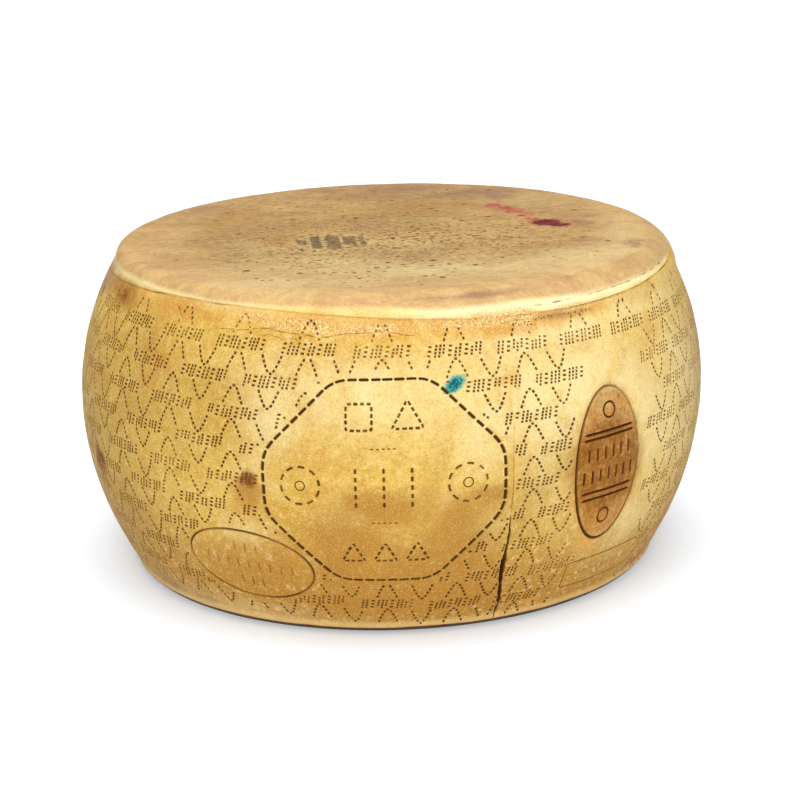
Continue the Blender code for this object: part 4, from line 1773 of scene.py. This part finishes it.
def add_flecks(graph, spot, base):
    """Brown flecks in the pitted middle of the top, and sparse ones all over."""
    flecks = graph.smooth(graph.noise(spot, 330.0, 2.0, 0.6, 0.3), 0.55, 0.63)
    base = graph.tint(base, (102, 64, 18), flecks, graph.attribute("pitted"), 0.90)
    sparse = graph.smooth(graph.noise(spot, 430.0, 3.0, 0.7), 0.64, 0.74)
    return graph.tint(base, (140, 96, 44), sparse, 0.35)


def add_hollow_shade(graph, base, burnt):
    """Painted shade in the pressed marks, grooves, crease and crack, deeper where the rind is burnt."""
    mark = graph.attribute("mark")
    base = graph.layers(base, (mark, 0.03, 0.28, 0.78, (120, 78, 22)))
    hollow_shade = graph.mix(burnt, colour(62, 36, 6), colour(72, 24, 4))
    base = graph.mix(graph.smooth(mark, 0.22, 0.74, 0.0, 0.86), base, hollow_shade)
    # Near-black painted shadow deep in the crack and in the darkest dashes
    return graph.layers(base, (mark, 1.40, 1.90, 0.85, (24, 8, 2)))


def rind_material():
    material = bpy.data.materials.new("rind")
    graph = Graph(material)
    spot = graph.place()
    fine = graph.noise(spot, 170.0, 4.0, 0.6)
    speck = graph.noise(spot, 1000.0, 2.0, 0.6)
    base = add_stains(graph, spot, rind_tone(graph, spot))
    base = add_specks(graph, spot, base, speck)
    base, burnt = add_scorch(graph, spot, base)
    base = add_ink(graph, spot, base)
    base = add_flecks(graph, spot, base)
    base = paint_foot_highlight_and_shadow(graph, spot, base)
    base = add_hollow_shade(graph, base, burnt)
    graph.feed(graph.shader.inputs["Base Color"], base)
    graph.feed(graph.shader.inputs["Roughness"], graph.smooth(fine, 0.3, 0.7, 0.46, 0.66))
    graph.shader.inputs["Specular IOR Level"].default_value = SHEEN
    bump = graph.nodes.new("ShaderNodeBump")
    bump.inputs["Strength"].default_value = BUMP_STRENGTH
    bump.inputs["Distance"].default_value = BUMP_DISTANCE
    graph.feed(bump.inputs["Height"], graph.math('ADD', graph.times(fine, 0.6), graph.times(speck, 0.4)))
    graph.feed(graph.shader.inputs["Normal"], bump.outputs["Normal"])
    return material


def make_floor():
    data = bpy.data.meshes.new("studio_floor")
    signs = ((-1, -1), (1, -1), (1, 1), (-1, 1))
    corners = [(x * FLOOR_HALF, y * FLOOR_HALF, FLOOR_LEVEL) for x, y in signs]
    data.from_pydata(corners, [], [(0, 1, 2, 3)])
    floor = new_object("studio_floor", data)
    material = bpy.data.materials.new("floor_paper")
    material.use_nodes = True
    shader = material.node_tree.nodes["Principled BSDF"]
    shader.inputs["Base Color"].default_value = FLOOR_COLOUR
    shader.inputs["Roughness"].default_value = 0.8
    shader.inputs["Specular IOR Level"].default_value = 0.2
    shader.inputs["Emission Color"].default_value = WHITE
    shader.inputs["Emission Strength"].default_value = FLOOR_GLOW
    data.materials.append(material)


def make_lights():
    """Soft white lights, and an even white world."""
    for name, azimuth, elevation, strength, softness in LIGHTS:
        light = bpy.data.lights.new(name, 'SUN')
        light.energy = strength
        light.angle = math.radians(softness)
        light.color = WHITE[:3]
        turn = math.radians(azimuth)
        rise = math.radians(elevation)
        level = math.cos(rise)
        towards = Vector((math.sin(turn) * level, -math.cos(turn) * level, math.sin(rise)))
        new_object(name, light).rotation_euler = towards.to_track_quat('Z', 'Y').to_euler()
    world = bpy.data.worlds.new("studio")
    bpy.context.scene.world = world
    world.use_nodes = True
    background = world.node_tree.nodes["Background"]
    background.inputs["Color"].default_value = WHITE
    background.inputs["Strength"].default_value = WORLD_STRENGTH


def make_camera():
    camera_data = bpy.data.cameras.new("camera")
    camera_data.sensor_width = SENSOR_WIDTH
    camera_data.lens = FOCAL_PIXELS / IMAGE_WIDTH * SENSOR_WIDTH
    camera_data.clip_end = 50.0
    camera = new_object("camera", camera_data)
    forward = Vector((0.0, math.cos(CAMERA_ELEVATION), -math.sin(CAMERA_ELEVATION)))
    level = Vector((1.0, 0.0, 0.0))
    upright = level.cross(forward)
    right = level * math.cos(CAMERA_ROLL) + upright * math.sin(CAMERA_ROLL)
    up = upright * math.cos(CAMERA_ROLL) - level * math.sin(CAMERA_ROLL)
    turn = Matrix((right, up, -forward)).transposed().to_4x4()
    camera.matrix_world = Matrix.Translation(CAMERA_PLACE) @ turn
    bpy.context.scene.camera = camera


wheel = rind_object()
wheel.data.materials.append(rind_material())
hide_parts("wheel")
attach(wheel, "root")
make_floor()
make_lights()
make_camera()
bpy.context.scene.view_settings.view_transform = 'Standard'
